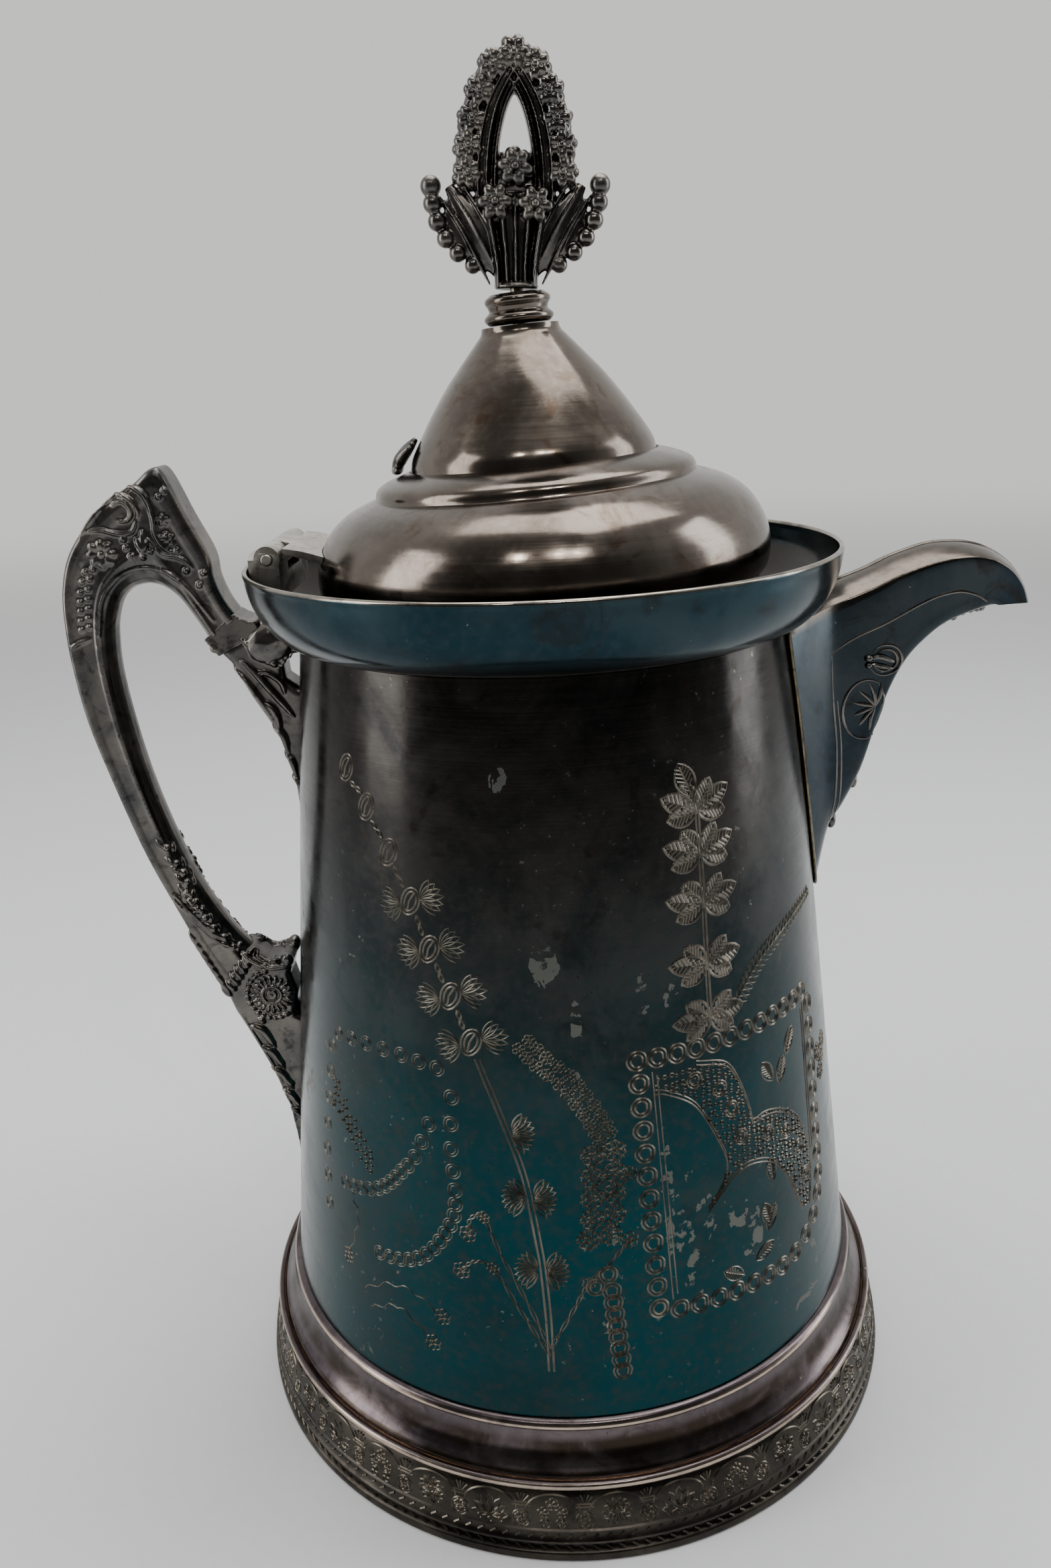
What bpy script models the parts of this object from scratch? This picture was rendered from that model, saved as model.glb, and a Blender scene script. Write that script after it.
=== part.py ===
"""Lidded silver-plated water pitcher, double walled, with a hinged domed lid.

Frame: origin at the centre of the foot's underside, +Z up, spout towards +X, handle
towards -X.  Metres throughout.  The lid's pieces hang from an empty on the hinge pin's
axis and are drawn as if the lid were shut; the empty then holds the lid a little ajar.
"""

import math

import bmesh
import bpy
from mathutils import Vector

# ---------------------------------------------------------------- driving dimensions

SEGMENTS = 32                  # sides of the large turned pieces
SMALL_SEGMENTS = 16            # sides of pins, studs and knuckles
GAP = 0.0003                   # clearance between pieces that touch

FOOT_RADIUS = 0.0900
BAND_TOP = 0.0176              # top of the die-rolled border band
BODY_BOTTOM = 0.0333           # lower edge of the tapered outer wall
BODY_TOP = 0.2095              # upper edge of the tapered outer wall
BODY_FOOT_RADIUS = 0.0795
BODY_NECK_RADIUS = 0.0612
WALL = 0.0011                  # sheet thickness of the outer wall

LINER_BOTTOM = 0.0380
LINER_TOP = 0.2092
LINER_CLEARANCE = 0.0033       # liner's outer face inside the outer wall's outer face
LINER_WALL = 0.0010
LINER_HEEL = 0.0036            # corner radius at the liner's floor

RIM_RADIUS = 0.0729
RIM_TOP = 0.2276
SEAT_TOP = 0.2142              # ledge on which the shut lid rests
SEAT_INNER_RADIUS = 0.0525

HINGE_X = -0.0645
HINGE_Z = 0.2302
LID_AJAR = math.radians(3.3)
KNUCKLE_RADIUS = 0.0031
PIN_RADIUS = 0.0013
HINGE_HALF_WIDTH = 0.0180
LID_KNUCKLE_HALF = 0.0070

COLLAR_RADIUS = 0.0077
COLLAR_BOTTOM = 0.2781
COLLAR_TOP = 0.2848
FINIAL_HEIGHT = 0.0515
FINIAL_THICKNESS = 0.0075
FINIAL_LEAN = math.radians(5.5)
STUD_RADIUS = 0.0015

SPOUT_HALF_WIDTH = 0.0105
SPOUT_SEAM_HALF_WIDTH = 0.0240
SPOUT_WALL = 0.0012
SPOUT_CROWN = 0.0034
SPOUT_ROOT_X = 0.0500           # start of the untrimmed spout, well inside the wall
PORT_HALF_WIDTH = 0.0085       # opening through both walls behind the spout
PORT_BOTTOM = 0.1500
PORT_TOP = 0.2020

HANDLE_THICKNESS = 0.0118      # across, along Y
BRACKET_THICKNESS = 0.0110


def outer_radius(z):
    """Radius of the tapered outer wall at height z."""
    share = (z - BODY_BOTTOM) / (BODY_TOP - BODY_BOTTOM)
    return BODY_FOOT_RADIUS + share * (BODY_NECK_RADIUS - BODY_FOOT_RADIUS)


def liner_radius(z):
    """Outer radius of the inner liner's wall at height z."""
    return outer_radius(z) - LINER_CLEARANCE


# ------------------------------------------------------------------------- materials

def metal(name, colour, roughness):
    """A metallic Principled material with one colour and one roughness."""
    material = bpy.data.materials.new(name)
    material.use_nodes = True
    shader = material.node_tree.nodes["Principled BSDF"]
    shader.inputs["Base Color"].default_value = (*colour, 1.0)
    shader.inputs["Metallic"].default_value = 1.0
    shader.inputs["Roughness"].default_value = roughness
    material.diffuse_color = (*colour, 1.0)
    return material


def dark_silver():
    return metal("dark_silver", (0.10, 0.11, 0.12), 0.30)


def warm_silver():
    return metal("warm_silver", (0.30, 0.27, 0.25), 0.32)


def cast_silver():
    return metal("cast_silver", (0.17, 0.17, 0.18), 0.38)


def foot_silver():
    return metal("foot_silver", (0.26, 0.23, 0.24), 0.30)


def nickel():
    return metal("nickel", (0.55, 0.53, 0.49), 0.35)


def inner_metal():
    return metal("inner_metal", (0.45, 0.44, 0.42), 0.40)


# ----------------------------------------------------------------------- mesh helpers

def clear_scene():
    for item in list(bpy.data.objects):
        bpy.data.objects.remove(item, do_unlink=True)


def finish_mesh(name, mesh_builder, material, smooth=True):
    """Turn a bmesh into a linked object with outward faces and its material."""
    bmesh.ops.recalc_face_normals(mesh_builder, faces=mesh_builder.faces)
    mesh = bpy.data.meshes.new(name)
    mesh_builder.to_mesh(mesh)
    mesh_builder.free()
    if smooth:
        mesh.shade_smooth()
        mesh.set_sharp_from_angle(angle=math.radians(32))
    piece = bpy.data.objects.new(name, mesh)
    bpy.context.scene.collection.objects.link(piece)
    if material is not None:
        mesh.materials.append(material)
    return piece


def turned(name, profile, material, segments=SEGMENTS):
    """Solid of revolution about Z from a closed outline of (radius, height) points."""
    builder = bmesh.new()
    rings = []
    for radius, height in profile:
        if radius <= 0.0:
            rings.append([builder.verts.new((0.0, 0.0, height))])
            continue
        ring = []
        for step in range(segments):
            angle = 2.0 * math.pi * step / segments
            place = (radius * math.cos(angle), radius * math.sin(angle), height)
            ring.append(builder.verts.new(place))
        rings.append(ring)
    for index, lower in enumerate(rings):
        upper = rings[(index + 1) % len(rings)]
        if len(lower) == 1 and len(upper) == 1:
            continue
        for step in range(segments):
            after = (step + 1) % segments
            corners = [lower[step % len(lower)], lower[after % len(lower)],
                       upper[after % len(upper)], upper[step % len(upper)]]
            face = []
            for corner in corners:
                if corner not in face:
                    face.append(corner)
            builder.faces.new(face)
    return finish_mesh(name, builder, material)


def rod(name, radius, start, end, material, segments=SMALL_SEGMENTS):
    """Straight round bar between two points."""
    start = Vector(start)
    end = Vector(end)
    axis = end - start
    turn = Vector((0.0, 0.0, 1.0)).rotation_difference(axis)
    builder = bmesh.new()
    bmesh.ops.create_cone(builder, cap_ends=True, segments=segments, radius1=radius,
                          radius2=radius, depth=axis.length)
    for vertex in builder.verts:
        vertex.co = turn @ vertex.co + (start + end) / 2.0
    return finish_mesh(name, builder, material)


def block(name, low, high, material):
    """Rectangular bar between two opposite corners."""
    builder = bmesh.new()
    bmesh.ops.create_cube(builder, size=1.0)
    for vertex in builder.verts:
        for axis in range(3):
            middle = (low[axis] + high[axis]) / 2.0
            vertex.co[axis] = middle + vertex.co[axis] * (high[axis] - low[axis])
    return finish_mesh(name, builder, material, smooth=False)


def cut_from_sheet(name, outline, thickness, material, bevel=0.0):
    """Plate lying in the XZ plane, centred on Y, from a closed outline of (x, z)."""
    builder = bmesh.new()
    near = [builder.verts.new((x, -thickness / 2.0, z)) for x, z in outline]
    face = builder.faces.new(near)
    grown = bmesh.ops.extrude_face_region(builder, geom=[face])
    for item in grown["geom"]:
        if isinstance(item, bmesh.types.BMVert):
            item.co.y += thickness
    piece = finish_mesh(name, builder, material)
    if bevel > 0.0:
        edge = piece.modifiers.new("rounded_edges", "BEVEL")
        edge.width = bevel
        edge.segments = 2
        edge.limit_method = "ANGLE"
        edge.angle_limit = math.radians(60)
    return piece


def lofted(name, loops, material, smooth=True, strip_ends=False):
    """Closed solid through a row of closed loops that have equal numbers of points.

    strip_ends closes both ends with quads, for a loop that runs out along a wall's
    outer face and back along its inner face.
    """
    builder = bmesh.new()
    rows = [[builder.verts.new(point) for point in loop] for loop in loops]
    for lower, upper in zip(rows, rows[1:]):
        for index in range(len(lower)):
            after = (index + 1) % len(lower)
            builder.faces.new((lower[index], lower[after], upper[after], upper[index]))
    for row in (rows[0], rows[-1]):
        if not strip_ends:
            builder.faces.new(row)
            continue
        for index in range(len(row) // 2 - 1):
            builder.faces.new((row[index], row[index + 1], row[-2 - index],
                               row[-1 - index]))
    bmesh.ops.triangulate(builder, faces=[f for f in builder.faces if len(f.verts) > 4])
    return finish_mesh(name, builder, material, smooth)


def hide_tool(tool):
    tool.hide_render = True
    tool.display_type = "WIRE"
    return tool


def combine(piece, tool, operation):
    """Add an exact Boolean of a hidden tool to a piece."""
    change = piece.modifiers.new(tool.name, "BOOLEAN")
    change.operation = operation
    change.solver = "EXACT"
    change.object = hide_tool(tool)


def cut(piece, tool):
    combine(piece, tool, "DIFFERENCE")


def body_envelope(name, grow):
    """Hidden solid of the tapered wall and gallery, grown by a clearance."""
    profile = [(0.0, BODY_BOTTOM), (BODY_FOOT_RADIUS + grow, BODY_BOTTOM),
               (BODY_NECK_RADIUS + grow, BODY_TOP)]
    profile += [(radius + grow, height) for radius, height in gallery_outer()]
    profile += [(0.0, RIM_TOP)]
    return turned(name, profile, None)


# ------------------------------------------------------------------------ turned body

def gallery_outer():
    """Outer line of the flared gallery, from the body's neck to just under the rim."""
    return [(0.0613, 0.2099), (0.0650, 0.2110), (0.0684, 0.2140), (0.0709, 0.2180),
            (0.0723, 0.2222), (RIM_RADIUS, 0.2270)]


def gallery_inner():
    """Inner line of the flared gallery, from just under the rim back to the neck."""
    return [(0.0716, 0.2222), (0.0702, 0.2186), (0.0678, 0.2150), (0.0644, 0.2122),
            (0.0607, 0.2112)]


def make_outer_body():
    profile = [(BODY_FOOT_RADIUS, BODY_BOTTOM), (BODY_NECK_RADIUS, BODY_TOP),
               (BODY_NECK_RADIUS - WALL, BODY_TOP), (BODY_FOOT_RADIUS - WALL, BODY_BOTTOM)]
    body = turned("outer_body", profile, dark_silver())
    half = PORT_HALF_WIDTH + 0.0010
    low = (0.040, -half, PORT_BOTTOM - 0.0012)
    high = (0.090, half, PORT_TOP + 0.0012)
    cut(body, block("body_port_cutter", low, high, None))


def make_gallery_rim():
    lip = [(RIM_RADIUS - 0.0003, RIM_TOP), (RIM_RADIUS - 0.0008, 0.2272)]
    profile = gallery_outer() + lip + gallery_inner() + [(0.0596, 0.2110), (0.0596, 0.2099)]
    turned("gallery_rim", profile, dark_silver())


def make_foot_moulding():
    profile = [(0.0846, 0.0179), (0.0864, 0.0182), (0.0872, 0.0194), (0.0865, 0.0206),
               (0.0853, 0.0211), (0.0834, 0.0228), (0.0819, 0.0254), (0.0810, 0.0282),
               (0.0806, 0.0301), (0.0812, 0.0314), (0.0806, 0.0327), (0.0797, 0.0330),
               (0.0782, 0.0330), (0.0787, 0.0300), (0.0800, 0.0252), (0.0820, 0.0212),
               (0.0834, 0.0179)]
    turned("foot_moulding", profile, foot_silver())


def make_foot_band():
    profile = [(0.0862, 0.0), (FOOT_RADIUS, 0.0), (FOOT_RADIUS, 0.0022), (0.0892, 0.0028),
               (0.0889, 0.0062), (0.0869, 0.0168), (0.0863, BAND_TOP), (0.0842, BAND_TOP),
               (0.0852, 0.0062)]
    turned("foot_band", profile, dark_silver())


def make_base_disc():
    profile = [(0.0, 0.0104), (0.0700, 0.0092), (0.0838, 0.0088), (0.0838, 0.0100),
               (0.0700, 0.0104), (0.0, 0.0116)]
    turned("base_disc", profile, dark_silver())


def make_inner_liner():
    floor_radius = liner_radius(LINER_BOTTOM + LINER_HEEL) - LINER_HEEL
    heel = []
    for turn in (0, 30, 60, 90):
        angle = math.radians(turn)
        heel.append((floor_radius + LINER_HEEL * math.sin(angle),
                     LINER_BOTTOM + LINER_HEEL * (1.0 - math.cos(angle))))
    outside = [(0.0, LINER_BOTTOM)] + heel + [(liner_radius(LINER_TOP), LINER_TOP)]
    inside = [(max(radius - LINER_WALL, 0.0), height) for radius, height in heel]
    inside = [(radius, height + LINER_WALL * (1.0 - (height - LINER_BOTTOM) / LINER_HEEL))
              for radius, height in inside]
    top_inside = [(liner_radius(LINER_TOP) - LINER_WALL, LINER_TOP)]
    profile = outside + top_inside + inside[::-1] + [(0.0, LINER_BOTTOM + LINER_WALL)]
    liner = turned("inner_liner", profile, inner_metal())
    half = PORT_HALF_WIDTH + 0.0010
    low = (0.040, -half, PORT_BOTTOM - 0.0012)
    high = (0.090, half, PORT_TOP + 0.0012)
    cut(liner, block("liner_port_cutter", low, high, None))


def make_lid_seat():
    profile = [(SEAT_INNER_RADIUS, 0.2126), (0.0560, 0.2126), (0.0560, BODY_TOP),
               (0.0592, BODY_TOP), (0.0592, 0.2128), (0.0592, SEAT_TOP),
               (SEAT_INNER_RADIUS, SEAT_TOP)]
    turned("lid_seat_ring", profile, inner_metal())


def port_frame(x_inner, x_outer, half_width, bottom, top):
    """Four inner and four outer corners of a slanted rectangular frame."""
    corners = [(-half_width, bottom), (half_width, bottom), (half_width, top),
               (-half_width, top)]
    inner = [(x_inner(z), y, z) for y, z in corners]
    outer = [(x_outer(z), y, z) for y, z in corners]
    return inner, outer


def make_port_sleeve():
    """Short rectangular neck that joins the liner's port to the spout."""
    def inner_face(z):
        return liner_radius(z) - LINER_WALL - 0.0012

    def outer_face(z):
        return outer_radius(z) + 0.0006

    wide = port_frame(inner_face, outer_face, PORT_HALF_WIDTH + 0.0006,
                      PORT_BOTTOM - 0.0008, PORT_TOP + 0.0008)
    narrow = port_frame(inner_face, outer_face, PORT_HALF_WIDTH - 0.0003,
                        PORT_BOTTOM + 0.0003, PORT_TOP - 0.0003)
    builder = bmesh.new()
    loops = [[builder.verts.new(point) for point in loop]
             for loop in (wide[0], wide[1], narrow[1], narrow[0])]
    for index, lower in enumerate(loops):
        upper = loops[(index + 1) % len(loops)]
        for side in range(4):
            after = (side + 1) % 4
            builder.faces.new((lower[side], lower[after], upper[after], upper[side]))
    finish_mesh("port_sleeve", builder, inner_metal(), smooth=False)


def make_strainer():
    """Slanted plate with three columns of round holes, held inside the port sleeve."""
    thickness = 0.0009
    inset = 0.0007

    def back_face(z):
        return liner_radius(z) + 0.0004

    def front_face(z):
        return back_face(z) + thickness

    inner, outer = port_frame(back_face, front_face, PORT_HALF_WIDTH - inset,
                              PORT_BOTTOM + inset, PORT_TOP - inset)
    plate = lofted("strainer_plate", [inner, outer], inner_metal(), smooth=False)
    rows = 8
    pitch = (PORT_TOP - PORT_BOTTOM - 0.010) / (rows - 1)
    builder = bmesh.new()
    for row in range(rows):
        height = PORT_BOTTOM + 0.005 + row * pitch
        for column in (-1, 0, 1):
            made = bmesh.ops.create_cone(builder, cap_ends=True, segments=8,
                                         radius1=0.0017, radius2=0.0017, depth=0.012)
            for vertex in made["verts"]:
                x, y, z = vertex.co
                vertex.co = (back_face(height) + z, column * 0.0052 + y, height + x)
    cut(plate, finish_mesh("strainer_cutter", builder, None, smooth=False))


# ------------------------------------------------------------------------------ spout

def spout_stations():
    """(top edge, underside edge) pairs in XZ from the body seam out to the mouth."""
    return [((0.0665, 0.2113), (0.0718, 0.1522)), ((0.0712, 0.2124), (0.0752, 0.1580)),
            ((0.0762, 0.2140), (0.0795, 0.1672)), ((0.0812, 0.2159), (0.0827, 0.1784)),
            ((0.0860, 0.2182), (0.0858, 0.1886)), ((0.0905, 0.2198), (0.0895, 0.1962)),
            ((0.0950, 0.2211), (0.0937, 0.2012)), ((0.0998, 0.2219), (0.0985, 0.2052)),
            ((0.1045, 0.2219), (0.1035, 0.2074)), ((0.1095, 0.2207), (0.1074, 0.2086)),
            ((0.1145, 0.2177), (0.1095, 0.2092)), ((0.1180, 0.2135), (0.1106, 0.2094)),
            ((0.1198, 0.2092), (0.1113, 0.2094))]


def spout_half_width(x, lower):
    """Half width of the spout at reach x, wider where it meets the body."""
    flare = 0.0055 * math.exp(-max(x - 0.066, 0.0) / 0.0035)
    nose = max(x - 0.100, 0.0) / 0.020
    width = SPOUT_HALF_WIDTH + flare - 0.0062 * nose * nose
    return width * (0.78 if lower else 1.0)


def spout_section(top, under, inset):
    """Half of one cross-section, from the crown's middle round to the keel's middle."""
    top = Vector((top[0], 0.0, top[1]))
    under = Vector((under[0], 0.0, under[1]))
    down = (under - top).normalized()
    top_width = spout_half_width(top.x, False) - inset
    low_width = spout_half_width(under.x, True) - inset
    crown = SPOUT_CROWN * min(1.0, 3.0 * (top - under).length / 0.06)
    start = top + down * inset
    stop = under - down * inset
    points = []
    for share in (0.0, 0.35, 0.7, 0.93):
        rise = crown * (1.0 - share * share)
        points.append(start - down * rise + Vector((0.0, share * top_width, 0.0)))
    for share in (0.04, 0.35, 0.68, 0.93):
        width = top_width + (low_width - top_width) * share
        points.append(start.lerp(stop, share) + Vector((0.0, width, 0.0)))
    for share in (0.62, 0.0):
        points.append(stop + Vector((0.0, share * low_width, 0.0)))
    return points


def spout_seam_section(inset):
    """Half of the section that lies on the tapered body, flaring wide at the top."""
    points = []
    top = 0.2096 - inset
    bottom = 0.1372 + 2.0 * inset
    for share in (0.0, 0.35, 0.7, 0.93):
        points.append((share * (SPOUT_SEAM_HALF_WIDTH - inset), top))
    for share in (0.04, 0.35, 0.68, 0.93):
        height = top + (bottom - top) * share
        width = SPOUT_SEAM_HALF_WIDTH * (1.0 - 0.52 * share) - inset
        points.append((width, height))
    points.append((0.0070 - inset, bottom + 0.0006))
    points.append((0.0, bottom))
    section = []
    for y, z in points:
        radius = outer_radius(z) + GAP + 0.0002
        section.append(Vector((math.sqrt(radius * radius - y * y), y, z)))
    return section


def make_spout_half(name, side):
    """One of the two stamped halves, soldered together along the spout's middle."""
    seam = spout_seam_section(0.0) + spout_seam_section(SPOUT_WALL)[::-1]
    root = [Vector((SPOUT_ROOT_X, point.y, point.z)) for point in seam]
    loops = [root, seam]
    for top, under in spout_stations():
        outer = spout_section(top, under, 0.0)
        inner = spout_section(top, under, SPOUT_WALL)
        loops.append(outer + inner[::-1])
    shifted = []
    for loop in loops:
        row = []
        for point in loop:
            row.append((point.x, side * (point.y + GAP / 2.0), point.z))
        shifted.append(row)
    half = lofted(name, shifted, dark_silver(), strip_ends=True)
    cut(half, body_envelope(name + "_clearance", GAP))


# ----------------------------------------------------------------------------- handle

def make_handle_grip():
    outer = [(-0.0757, 0.2133), (-0.0790, 0.2182), (-0.0814, 0.2240), (-0.0815, 0.2300),
             (-0.0859, 0.2400), (-0.0905, 0.2507), (-0.0930, 0.2516), (-0.0975, 0.2480),
             (-0.1048, 0.2442), (-0.1115, 0.2378), (-0.1167, 0.2315), (-0.1193, 0.2230),
             (-0.1200, 0.2140), (-0.1198, 0.2035), (-0.1182, 0.1890), (-0.1140, 0.1712),
             (-0.1087, 0.1521), (-0.1024, 0.1352), (-0.0975, 0.1226), (-0.0922, 0.1104)]
    inner = [(-0.0835, 0.1213), (-0.0892, 0.1288), (-0.0962, 0.1422), (-0.1010, 0.1560),
             (-0.1050, 0.1720), (-0.1074, 0.1870), (-0.1087, 0.2010), (-0.1082, 0.2115),
             (-0.1066, 0.2174), (-0.1037, 0.2218), (-0.0994, 0.2233), (-0.0950, 0.2225),
             (-0.0908, 0.2189), (-0.0872, 0.2132), (-0.0849, 0.2086)]
    grip = cut_from_sheet("handle_grip", outer + inner, HANDLE_THICKNESS, cast_silver(),
                          bevel=0.0022)
    cut(grip, body_envelope("grip_clearance", 2.0 * GAP))


def make_ferrule():
    """Banded ring where the grip enters the upper bracket."""
    along = Vector((0.90, 0.0, 0.44)).normalized()
    across = Vector((0.44, 0.0, -0.90)).normalized()
    middle = Vector((-0.0789, 0.0, 0.2101)) + across * 0.0003
    half_length = 0.0062
    half_height = 0.0013
    corners = []
    for a, b in ((-1, -1), (1, -1), (1, 1), (-1, 1)):
        corner = middle + along * (a * half_length) + across * (b * half_height)
        corners.append((corner.x, corner.z))
    ferrule = cut_from_sheet("handle_ferrule", corners, 0.0134, cast_silver(), bevel=0.0007)
    cut(ferrule, body_envelope("ferrule_clearance", 2.0 * GAP))


def make_upper_bracket():
    outline = [(-0.0826, 0.2064), (-0.0795, 0.2029), (-0.0779, 0.1993), (-0.0754, 0.1940),
               (-0.0704, 0.1850), (-0.0680, 0.1788), (-0.0668, 0.1725), (-0.0662, 0.1600),
               (-0.0600, 0.1600), (-0.0600, 0.1958), (-0.0632, 0.1962), (-0.0662, 0.1985),
               (-0.0664, 0.2020), (-0.0646, 0.2044), (-0.0600, 0.2050), (-0.0600, 0.2150),
               (-0.0711, 0.2150), (-0.0722, 0.2110)]
    bracket = cut_from_sheet("upper_bracket", outline, BRACKET_THICKNESS, cast_silver(),
                             bevel=0.0018)
    cut(bracket, body_envelope("upper_bracket_clearance", GAP))


def make_lower_bracket():
    outline = [(-0.0919, 0.1099), (-0.0907, 0.1040), (-0.0884, 0.0990), (-0.0857, 0.0927),
               (-0.0828, 0.0868), (-0.0804, 0.0805), (-0.0786, 0.0735), (-0.0779, 0.0660),
               (-0.0776, 0.0560), (-0.0700, 0.0560), (-0.0700, 0.1010), (-0.0738, 0.1030),
               (-0.0728, 0.1090), (-0.0742, 0.1150), (-0.0731, 0.1185), (-0.0745, 0.1208),
               (-0.0772, 0.1196), (-0.0800, 0.1190), (-0.0831, 0.1208)]
    bracket = cut_from_sheet("lower_bracket", outline, BRACKET_THICKNESS, cast_silver(),
                             bevel=0.0018)
    cut(bracket, body_envelope("lower_bracket_clearance", GAP))


# ------------------------------------------------------------------------------ hinge

def hinge_bar(name, radius, low_y, high_y, material):
    return rod(name, radius, (HINGE_X, low_y, HINGE_Z), (HINGE_X, high_y, HINGE_Z), material)


def make_hinge_body_leaf():
    """Two outer knuckles on one foot that is shaped to the gallery's inner wall."""
    leaf = block("hinge_body_leaf", (-0.0715, -HINGE_HALF_WIDTH, 0.2205),
                 (-0.0618, HINGE_HALF_WIDTH, HINGE_Z), nickel())
    knuckles = hinge_bar("body_knuckles", KNUCKLE_RADIUS, -HINGE_HALF_WIDTH,
                         HINGE_HALF_WIDTH, None)
    combine(leaf, knuckles, "UNION")
    room = hinge_bar("centre_knuckle_room", KNUCKLE_RADIUS + 0.0008,
                     -LID_KNUCKLE_HALF - GAP, LID_KNUCKLE_HALF + GAP, None)
    cut(leaf, room)
    slot = block("centre_slot", (-0.0640, -LID_KNUCKLE_HALF - GAP, 0.2262),
                 (-0.0600, LID_KNUCKLE_HALF + GAP, 0.2350), None)
    cut(leaf, slot)
    bore = hinge_bar("body_knuckle_bore", PIN_RADIUS + GAP, -0.03, 0.03, None)
    cut(leaf, bore)
    clearance = [(0.0, 0.2100)]
    for radius, height in reversed(gallery_inner()):
        clearance.append((radius - 2.0 * GAP, height))
    clearance += [(0.0719, 0.2262), (0.0719, 0.2400), (0.0, 0.2400)]
    combine(leaf, turned("gallery_hollow", clearance, None), "INTERSECT")


def make_hinge_pin():
    hinge_bar("hinge_pin", PIN_RADIUS, -HINGE_HALF_WIDTH - 0.0006, HINGE_HALF_WIDTH + 0.0006,
              nickel())


def make_hinge_lid_leaf():
    """Centre knuckle and the plate that is riveted to the lid's dome."""
    plate = cut_from_sheet("hinge_lid_leaf",
                           [(HINGE_X + 0.0038, 0.2311), (HINGE_X + 0.0038, 0.2323),
                            (-0.0500, 0.2288), (-0.0500, 0.2271)],
                           2.0 * HINGE_HALF_WIDTH - 0.0020, nickel())
    tab = cut_from_sheet("knuckle_tab",
                         [(HINGE_X, 0.2299), (HINGE_X, 0.2333), (HINGE_X + 0.0055, 0.2319),
                          (HINGE_X + 0.0055, 0.2299)], 2.0 * LID_KNUCKLE_HALF, None)
    combine(plate, tab, "UNION")
    knuckle = hinge_bar("lid_knuckle", KNUCKLE_RADIUS, -LID_KNUCKLE_HALF, LID_KNUCKLE_HALF,
                        None)
    combine(plate, knuckle, "UNION")
    cut(plate, hinge_bar("lid_knuckle_bore", PIN_RADIUS + GAP, -0.03, 0.03, None))
    grown = [(0.0, 0.2142)]
    for radius, height in dome_outer():
        grown.append((radius + GAP, height + GAP))
    grown.append((0.0, 0.2460))
    cut(plate, turned("dome_clearance", grown, None))
    return plate


# -------------------------------------------------------------------------------- lid

def dome_outer():
    """Outer line of the lid's dome from its lower edge up over the step."""
    return [(0.0534, 0.2146), (0.0548, 0.2166), (0.0555, 0.2195), (0.0556, 0.2226),
            (0.0549, 0.2266), (0.0529, 0.2308), (0.0503, 0.2342), (0.0463, 0.2371),
            (0.0420, 0.2389), (0.0392, 0.2398), (0.0389, 0.2412), (0.0380, 0.2425),
            (0.0360, 0.2436), (0.0330, 0.2447), (0.0303, 0.2455)]


def cone_outer():
    """Outer line of the lid's tall cone from its foot to its flat top."""
    return [(0.0299, 0.2452), (0.0291, 0.2484), (0.0269, 0.2524), (0.0233, 0.2584),
            (0.0191, 0.2645), (0.0145, 0.2702), (0.0115, 0.2737), (0.0106, 0.2749),
            (0.0098, 0.2757), (0.0093, 0.2766), (0.0091, 0.2777)]


def inward(profile, thickness):
    """Copy of an open profile, offset to its left by a sheet thickness."""
    copy = []
    for index, (radius, height) in enumerate(profile):
        before = Vector(profile[max(index - 1, 0)])
        after = Vector(profile[min(index + 1, len(profile) - 1)])
        along = (after - before).normalized()
        copy.append((radius - along.y * thickness, height + along.x * thickness))
    return copy


def make_lid_dome():
    outer = dome_outer()
    return turned("lid_dome", outer + inward(outer, WALL)[::-1], warm_silver())


def make_lid_cone():
    outer = cone_outer()
    inner = inward(outer, 0.0009)
    bore = STUD_RADIUS + 2.0 * GAP
    top = outer[-1][1]
    closing = [(bore, top), (bore, top - 0.0010), (inner[-1][0], top - 0.0010)]
    return turned("lid_cone", outer + closing + inner[:-1][::-1], warm_silver())


def make_lid_liner():
    """Shallow inner cap that closes the underside of the double-walled lid."""
    bottom = 0.2156
    outer = [(0.0512, bottom), (0.0512, 0.2200), (0.0480, 0.2245), (0.0380, 0.2300),
             (0.0240, 0.2335), (0.0, 0.2350)]
    inner = [(radius - 0.0009, height - 0.0009) for radius, height in outer[1:-1]]
    profile = outer + [(0.0, 0.2341)] + inner[::-1] + [(0.0503, bottom)]
    return turned("lid_liner", profile, inner_metal())


def make_lid_ornament():
    """Small cast leaf on the lid's step, at the hinge side."""
    outline = [(-0.0352, 0.2455), (-0.0350, 0.2476), (-0.0325, 0.2496), (-0.0303, 0.2530),
               (-0.0288, 0.2532), (-0.0280, 0.2490), (-0.0290, 0.2455)]
    leaf = cut_from_sheet("lid_ornament", outline, 0.0120, cast_silver(), bevel=0.0006)
    grown = [(0.0, 0.2300)]
    for radius, height in dome_outer()[7:-1]:
        grown.append((radius + GAP, height + GAP))
    for radius, height in cone_outer()[1:6]:
        grown.append((radius + GAP, height + GAP))
    grown.append((0.0, 0.2706))
    cut(leaf, turned("ornament_clearance", grown, None))
    return leaf


def make_finial_collar():
    radius = COLLAR_RADIUS
    bottom = COLLAR_BOTTOM
    profile = [(radius - 0.0006, bottom), (radius + 0.0004, bottom + 0.0007),
               (radius + 0.0004, bottom + 0.0020), (radius - 0.0006, bottom + 0.0027),
               (radius - 0.0007, bottom + 0.0036), (radius, bottom + 0.0044),
               (radius, bottom + 0.0056), (radius - 0.0012, COLLAR_TOP),
               (STUD_RADIUS + GAP, COLLAR_TOP), (STUD_RADIUS + GAP, bottom)]
    return turned("finial_collar", profile, warm_silver(), segments=24)


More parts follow.
